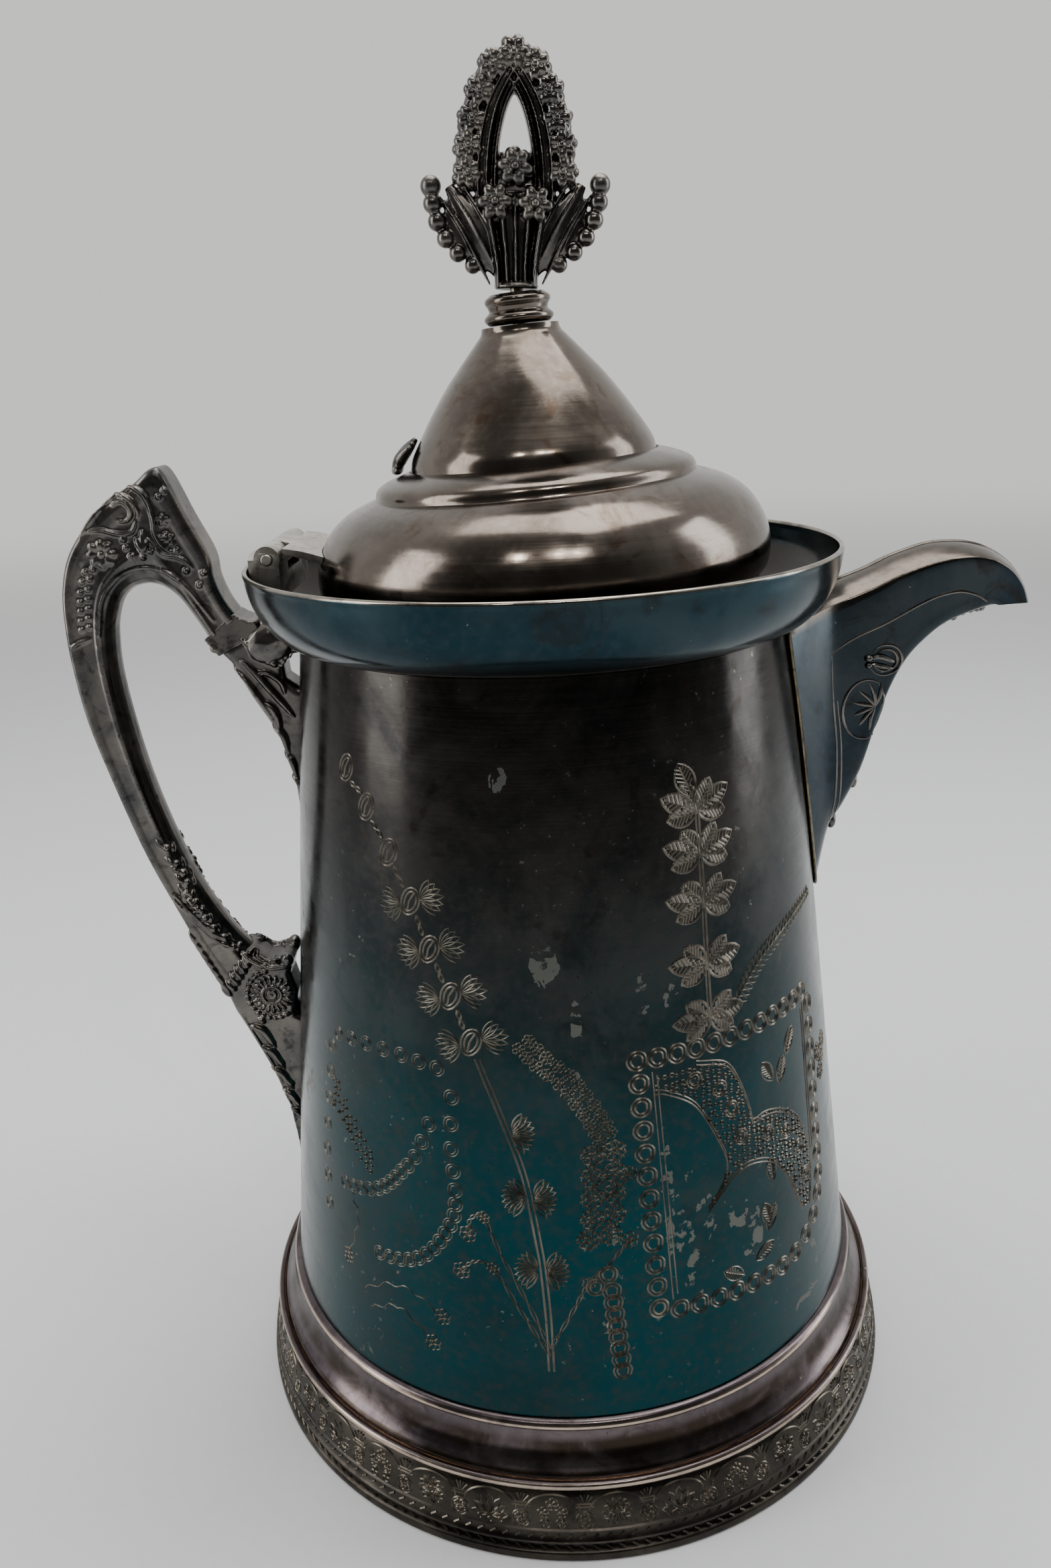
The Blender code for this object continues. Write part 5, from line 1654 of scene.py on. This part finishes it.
def engrave_cluster(tool):
    """Hanging cluster of florets, wide at the top and narrow at the foot."""
    random.seed(21)
    trail = flowing([(-6.9, 0.1285), (-3.9, 0.1245), (0.1, 0.1202), (3.0, 0.1152),
                     (5.4, 0.1101), (7.0, 0.1056)], 2)
    for point in trail:
        for side in (-1.0, 1.0):
            tool.stamp((point.x + side, point.y + 0.0010 * side), floret(1.6, 6),
                       60.0 * random.random(), pen=(0.20, 0.18))
    for centre, z in ((6.6, 0.1016), (6.4, 0.0963), (6.2, 0.0910), (6.0, 0.0857),
                      (5.2, 0.0806)):
        for side in (-1.0, 1.0):
            tool.stamp((centre + side * 2.0, z + 0.0004 * side), floret(2.6, 7)
                       + spokes(12, 1.9, 2.9, 6.0), 40.0 * random.random(), pen=(0.22, 0.20))
    tool.line(wavy([(6.5, 0.0900), (9.4, 0.0935), (12.2, 0.0962)], 0.0004, 3.0))
    tool.stamp((11.0, 0.0958), floret(1.9), pen=(0.22, 0.18))


def engrave_sprig(tool):
    """Upright stem with pairs of veined leaves."""
    nodes = [(29.1, 0.1773), (29.2, 0.1674), (29.3, 0.1561), (29.1, 0.1419),
             (29.1, 0.1291)]
    for shift in (-0.35, 0.35):
        tool.line([(28.6 + shift, 0.1805)] + [(angle + shift, z) for angle, z in nodes])
    tool.stamp((28.3, 0.1806), veined_leaf(8.5, 5.0, 112.0))
    for index, node in enumerate(nodes):
        rise = 26.0 - 6.0 * index
        for turn in (rise, 180.0 - rise):
            tool.stamp(node, lobed_leaf(9.8, 7.4, turn), pen=(0.38, 0.15))


def engrave_fern(tool):
    """Branch with feather strokes, rising towards the spout."""
    path = flowing([(35.0, 0.1300), (41.0, 0.1365), (49.0, 0.1405), (58.0, 0.1430),
                    (67.3, 0.1440)], 6)
    tool.line(path)
    for index, point in enumerate(path[1:-1]):
        size = 3.4 - 0.07 * index
        for side in (-1.0, 1.0):
            tool.stamp(point, [petal(size, 1.3, 22.0 + side * 52.0)], pen=(0.22, 0.18))


def ring_row(tool, start, stop, count):
    """Evenly spaced double rings from one (degrees, height) point to another."""
    for step in range(count):
        share = step / (count - 1)
        tool.stamp((start[0] + (stop[0] - start[0]) * share,
                    start[1] + (stop[1] - start[1]) * share), studded_ring(), pen=(0.30, 0.26))


def inside_of(outline):
    """Test for whether a (degrees, height) place is inside a closed outline."""
    def test(angle, z):
        odd = False
        for start, stop in zip(outline, outline[1:] + outline[:1]):
            if (start[1] > z) == (stop[1] > z):
                continue
            share = (z - start[1]) / (stop[1] - start[1])
            if angle < start[0] + share * (stop[0] - start[0]):
                odd = not odd
        return odd
    return test


def stipple(tool, inside, corner, far_corner, pitch):
    """Tiny rings scattered over the part of a rectangle that is inside a shape."""
    angle_step = math.degrees(pitch / 0.075)
    z = corner[1]
    while z < far_corner[1]:
        angle = corner[0]
        while angle < far_corner[0]:
            spot = (angle + angle_step * 0.5 * random.random(),
                    z + pitch * 0.5 * random.random())
            if inside(*spot):
                size = 0.5 + 0.7 * random.random()
                tool.stamp(spot, [oval(size, size, 6)], pen=(0.22, 0.24))
            angle += angle_step
        z += pitch


def engrave_right_panel(tool):
    """Ring-studded frame around two stippled arches."""
    ring_row(tool, (13.6, 0.1228), (57.4, 0.1220), 12)
    ring_row(tool, (13.8, 0.1172), (15.3, 0.0597), 11)
    ring_row(tool, (60.3, 0.1171), (58.9, 0.0699), 9)
    ring_row(tool, (19.2, 0.0581), (43.0, 0.0555), 7)
    for spot in ((47.2, 0.0561), (51.4, 0.0580), (55.0, 0.0607), (57.6, 0.0650)):
        tool.stamp(spot, studded_ring(), pen=(0.30, 0.26))
    for inset in (0.0, 0.9):
        frame_line = [(18.0 + inset, 0.0612 + inset * 0.0012),
                      (16.4 + inset, 0.1196 - inset * 0.0012),
                      (57.4 - inset, 0.1190 - inset * 0.0012),
                      (57.0 - inset, 0.0790)]
        tool.line(frame_line, (0.22, 0.20))
    outer = flowing([(25.3, 0.1196), (32.3, 0.1164), (36.0, 0.1074), (37.7, 0.0991)], 6)
    inner = flowing([(16.6, 0.1150), (19.1, 0.1142), (24.7, 0.1094), (29.2, 0.0989),
                     (30.8, 0.0922), (29.6, 0.0870), (26.0, 0.0817)], 6)
    lobe_outer = flowing([(37.7, 0.0991), (41.5, 0.0994), (46.2, 0.0971), (51.0, 0.0925),
                          (54.0, 0.0855), (55.3, 0.0780), (55.1, 0.0731),
                          (53.8, 0.0660)], 6)
    lobe_inner = flowing([(26.0, 0.0817), (29.2, 0.0852), (32.6, 0.0882), (37.0, 0.0889),
                          (43.2, 0.0850), (48.1, 0.0752), (50.6, 0.0668)], 6)
    for line in (outer, inner, lobe_outer, lobe_inner):
        for shift in (0.0, 0.0010):
            tool.line([(point.x, point.y - shift) for point in line], (0.24, 0.22))
    first_band = [(17.0, 0.1180)] + outer + inner[::-1]
    second_band = lobe_outer + lobe_inner[::-1]
    random.seed(31)
    stipple(tool, inside_of(first_band), (17.0, 0.0830), (37.5, 0.1180), 0.0017)
    stipple(tool, inside_of(second_band), (27.0, 0.0660), (56.0, 0.0990), 0.0017)
    for spot in ((24.8, 0.1150), (30.2, 0.1108), (32.6, 0.1045), (34.4, 0.0965),
                 (41.5, 0.0935), (47.0, 0.0905), (51.0, 0.0835), (52.9, 0.0745)):
        tool.stamp(spot, studded_ring(3.9), pen=(0.28, 0.24))
    for spot, turn in (((39.5, 0.0680), 60.0), ((40.5, 0.0690), 105.0),
                       ((36.0, 0.0620), 20.0), ((33.0, 0.0600), 150.0),
                       ((42.0, 0.0800), 95.0), ((46.0, 0.1040), 70.0),
                       ((44.0, 0.1060), 120.0), ((49.0, 0.1100), 60.0)):
        tool.stamp(spot, veined_leaf(7.0, 3.6, turn), pen=(0.22, 0.20))
    for spot in ((64.0, 0.1010), (66.5, 0.0985), (65.0, 0.0950), (68.5, 0.1015)):
        tool.stamp(spot, floret(2.4), pen=(0.26, 0.22))


def engrave_left_panel(tool):
    """Fainter frame of rings in arcs, with a grid of dots and tendrils."""
    arcs = [[(-21.2, 0.1140), (-21.5, 0.1010), (-20.9, 0.0906), (-21.2, 0.0840),
             (-23.1, 0.0787), (-25.5, 0.0739), (-28.8, 0.0699), (-33.0, 0.0675),
             (-38.0, 0.0665)],
            [(-26.0, 0.1060), (-29.2, 0.0965), (-32.3, 0.0914), (-35.0, 0.0874),
             (-38.2, 0.0841), (-43.0, 0.0815), (-48.0, 0.0800)],
            [(-24.0, 0.1205), (-32.0, 0.1215), (-41.0, 0.1210), (-50.0, 0.1195)],
            [(-52.5, 0.1150), (-54.0, 0.1000), (-55.0, 0.0850), (-54.0, 0.0700)]]
    for path in arcs:
        for point in flowing(path, 2):
            tool.stamp(point, studded_ring(3.7), pen=(0.17, 0.13))
    random.seed(41)

    def in_strip(angle, z):
        return abs((angle + 47.0) * 0.0011 + (z - 0.098)) < 0.0045

    stipple(tool, in_strip, (-52.0, 0.085), (-40.0, 0.112), 0.0019)
    for points in ([(-24.0, 0.0560), (-30.0, 0.0600), (-36.0, 0.0590), (-42.0, 0.0540)],
                   [(-26.0, 0.0480), (-33.0, 0.0540), (-40.0, 0.0500)],
                   [(-47.0, 0.0600), (-44.0, 0.0720), (-46.0, 0.0790)]):
        tool.line(wavy(points, 0.0005, 4.0, 0.0, 8), (0.20, 0.16))
        tool.stamp(points[0], floret(2.2), pen=(0.20, 0.16))


def engrave_chain(tool):
    """Short chain of overlapping rings hanging beside the stem."""
    tool.stamp((6.4, 0.0708), studded_ring(4.3))
    tool.stamp((4.1, 0.0678), studded_ring(4.3))
    for step in range(8):
        share = step / 7
        tool.stamp((6.9 + 1.3 * share, 0.0664 - 0.0216 * share), studded_ring(4.4))


def make_wall_engraving():
    tool = Engraver(wall_radius)
    faint = Engraver(wall_radius)
    engrave_vine(tool, faint)
    engrave_sprig(tool)
    engrave_right_panel(tool)
    engrave_chain(tool)
    engrave_cluster(faint)
    engrave_fern(faint)
    engrave_left_panel(faint)
    make_piece("wall_engraving", tool.builder, "engraving")
    make_piece("faint_engraving", faint.builder, "faint")


def border_motifs():
    """The three motifs that take turns under the arches of the foot's border."""
    daisy = [oval(1.5, 1.5, 10, (0.0, 0.2))]
    for step in range(14):
        daisy.append(petal(3.5, 1.3, 360.0 * step / 14, 1.0, (0.0, 0.2), 4))
    palmette = []
    for step in range(7):
        palmette.append(petal(5.6 - 0.35 * abs(step - 3), 1.5, 90.0 + 27.0 * (step - 3),
                              0.8, (0.0, -2.2), 5))
    palmette += [oval(1.2, 1.2, 8, (0.0, -3.2)), oval(1.2, 1.2, 8, (-2.6, -2.8)),
                 oval(1.2, 1.2, 8, (2.6, -2.8))]
    posy = floret(1.7, 5, (0.0, 2.4)) + floret(1.5, 5, (-2.2, 0.3))
    posy += floret(1.5, 5, (2.2, 0.5)) + [oval(2.4, 2.4, 10, (-1.9, -2.6)),
                                          oval(2.4, 2.4, 10, (1.9, -2.4))]
    posy += spokes(6, 0.2, 0.9, 0.0, 360.0, (-1.9, -2.6))
    posy += spokes(6, 0.2, 0.9, 0.0, 360.0, (1.9, -2.4))
    return [daisy, palmette, posy]


def make_border():
    """Rolled border of the foot: arches with motifs, discs, and rows of dashes."""
    tool = Engraver(band_radius)
    motifs = border_motifs()
    count = 36
    pitch = 360.0 / count
    arch = (False, [(7.4 * math.cos(math.pi * step / 12) * 0.86,
                     4.2 * math.sin(math.pi * step / 12)) for step in range(13)])
    column = [(False, [(-2.2, y), (2.2, y)]) for y in (-0.4, 0.4)]
    column += spokes(5, 1.0, 3.0, 50.0, 100.0)
    disc = [oval(4.4, 4.4, 16)] + floret(1.7, 8)
    for index in range(count):
        angle = 0.5 + pitch * index
        tool.stamp((angle, 0.0108), disc, pen=(0.24, 0.26))
        tool.stamp((angle, 0.0145), column, pen=(0.22, 0.24))
        middle = angle + pitch / 2.0
        tool.stamp((middle, 0.0132), [arch], pen=(0.26, 0.28))
        tool.stamp((middle, 0.0124), motifs[index % 3], pen=(0.24, 0.26))
    for height, lean in ((0.0065, 0.5), (0.0036, -0.5)):
        for index in range(180):
            angle = 2.0 * index
            tool.stamp((angle, height), [(False, [(-0.7, -lean), (0.7, lean)])], pen=(0.30, 0.26))
    make_piece("border_engraving", tool.builder, "border_relief")


# ------------------------------------------------------------------------- assembly

make_camera()
make_world()
make_lights()
make_floor()
make_wall()
make_gallery()
make_foot()
make_linings()
make_carried_over()
make_lid()
make_hinge()
make_spout()
make_grip()
make_grip_ferrule()
make_brackets()
make_finial()
make_wall_engraving()
make_border()
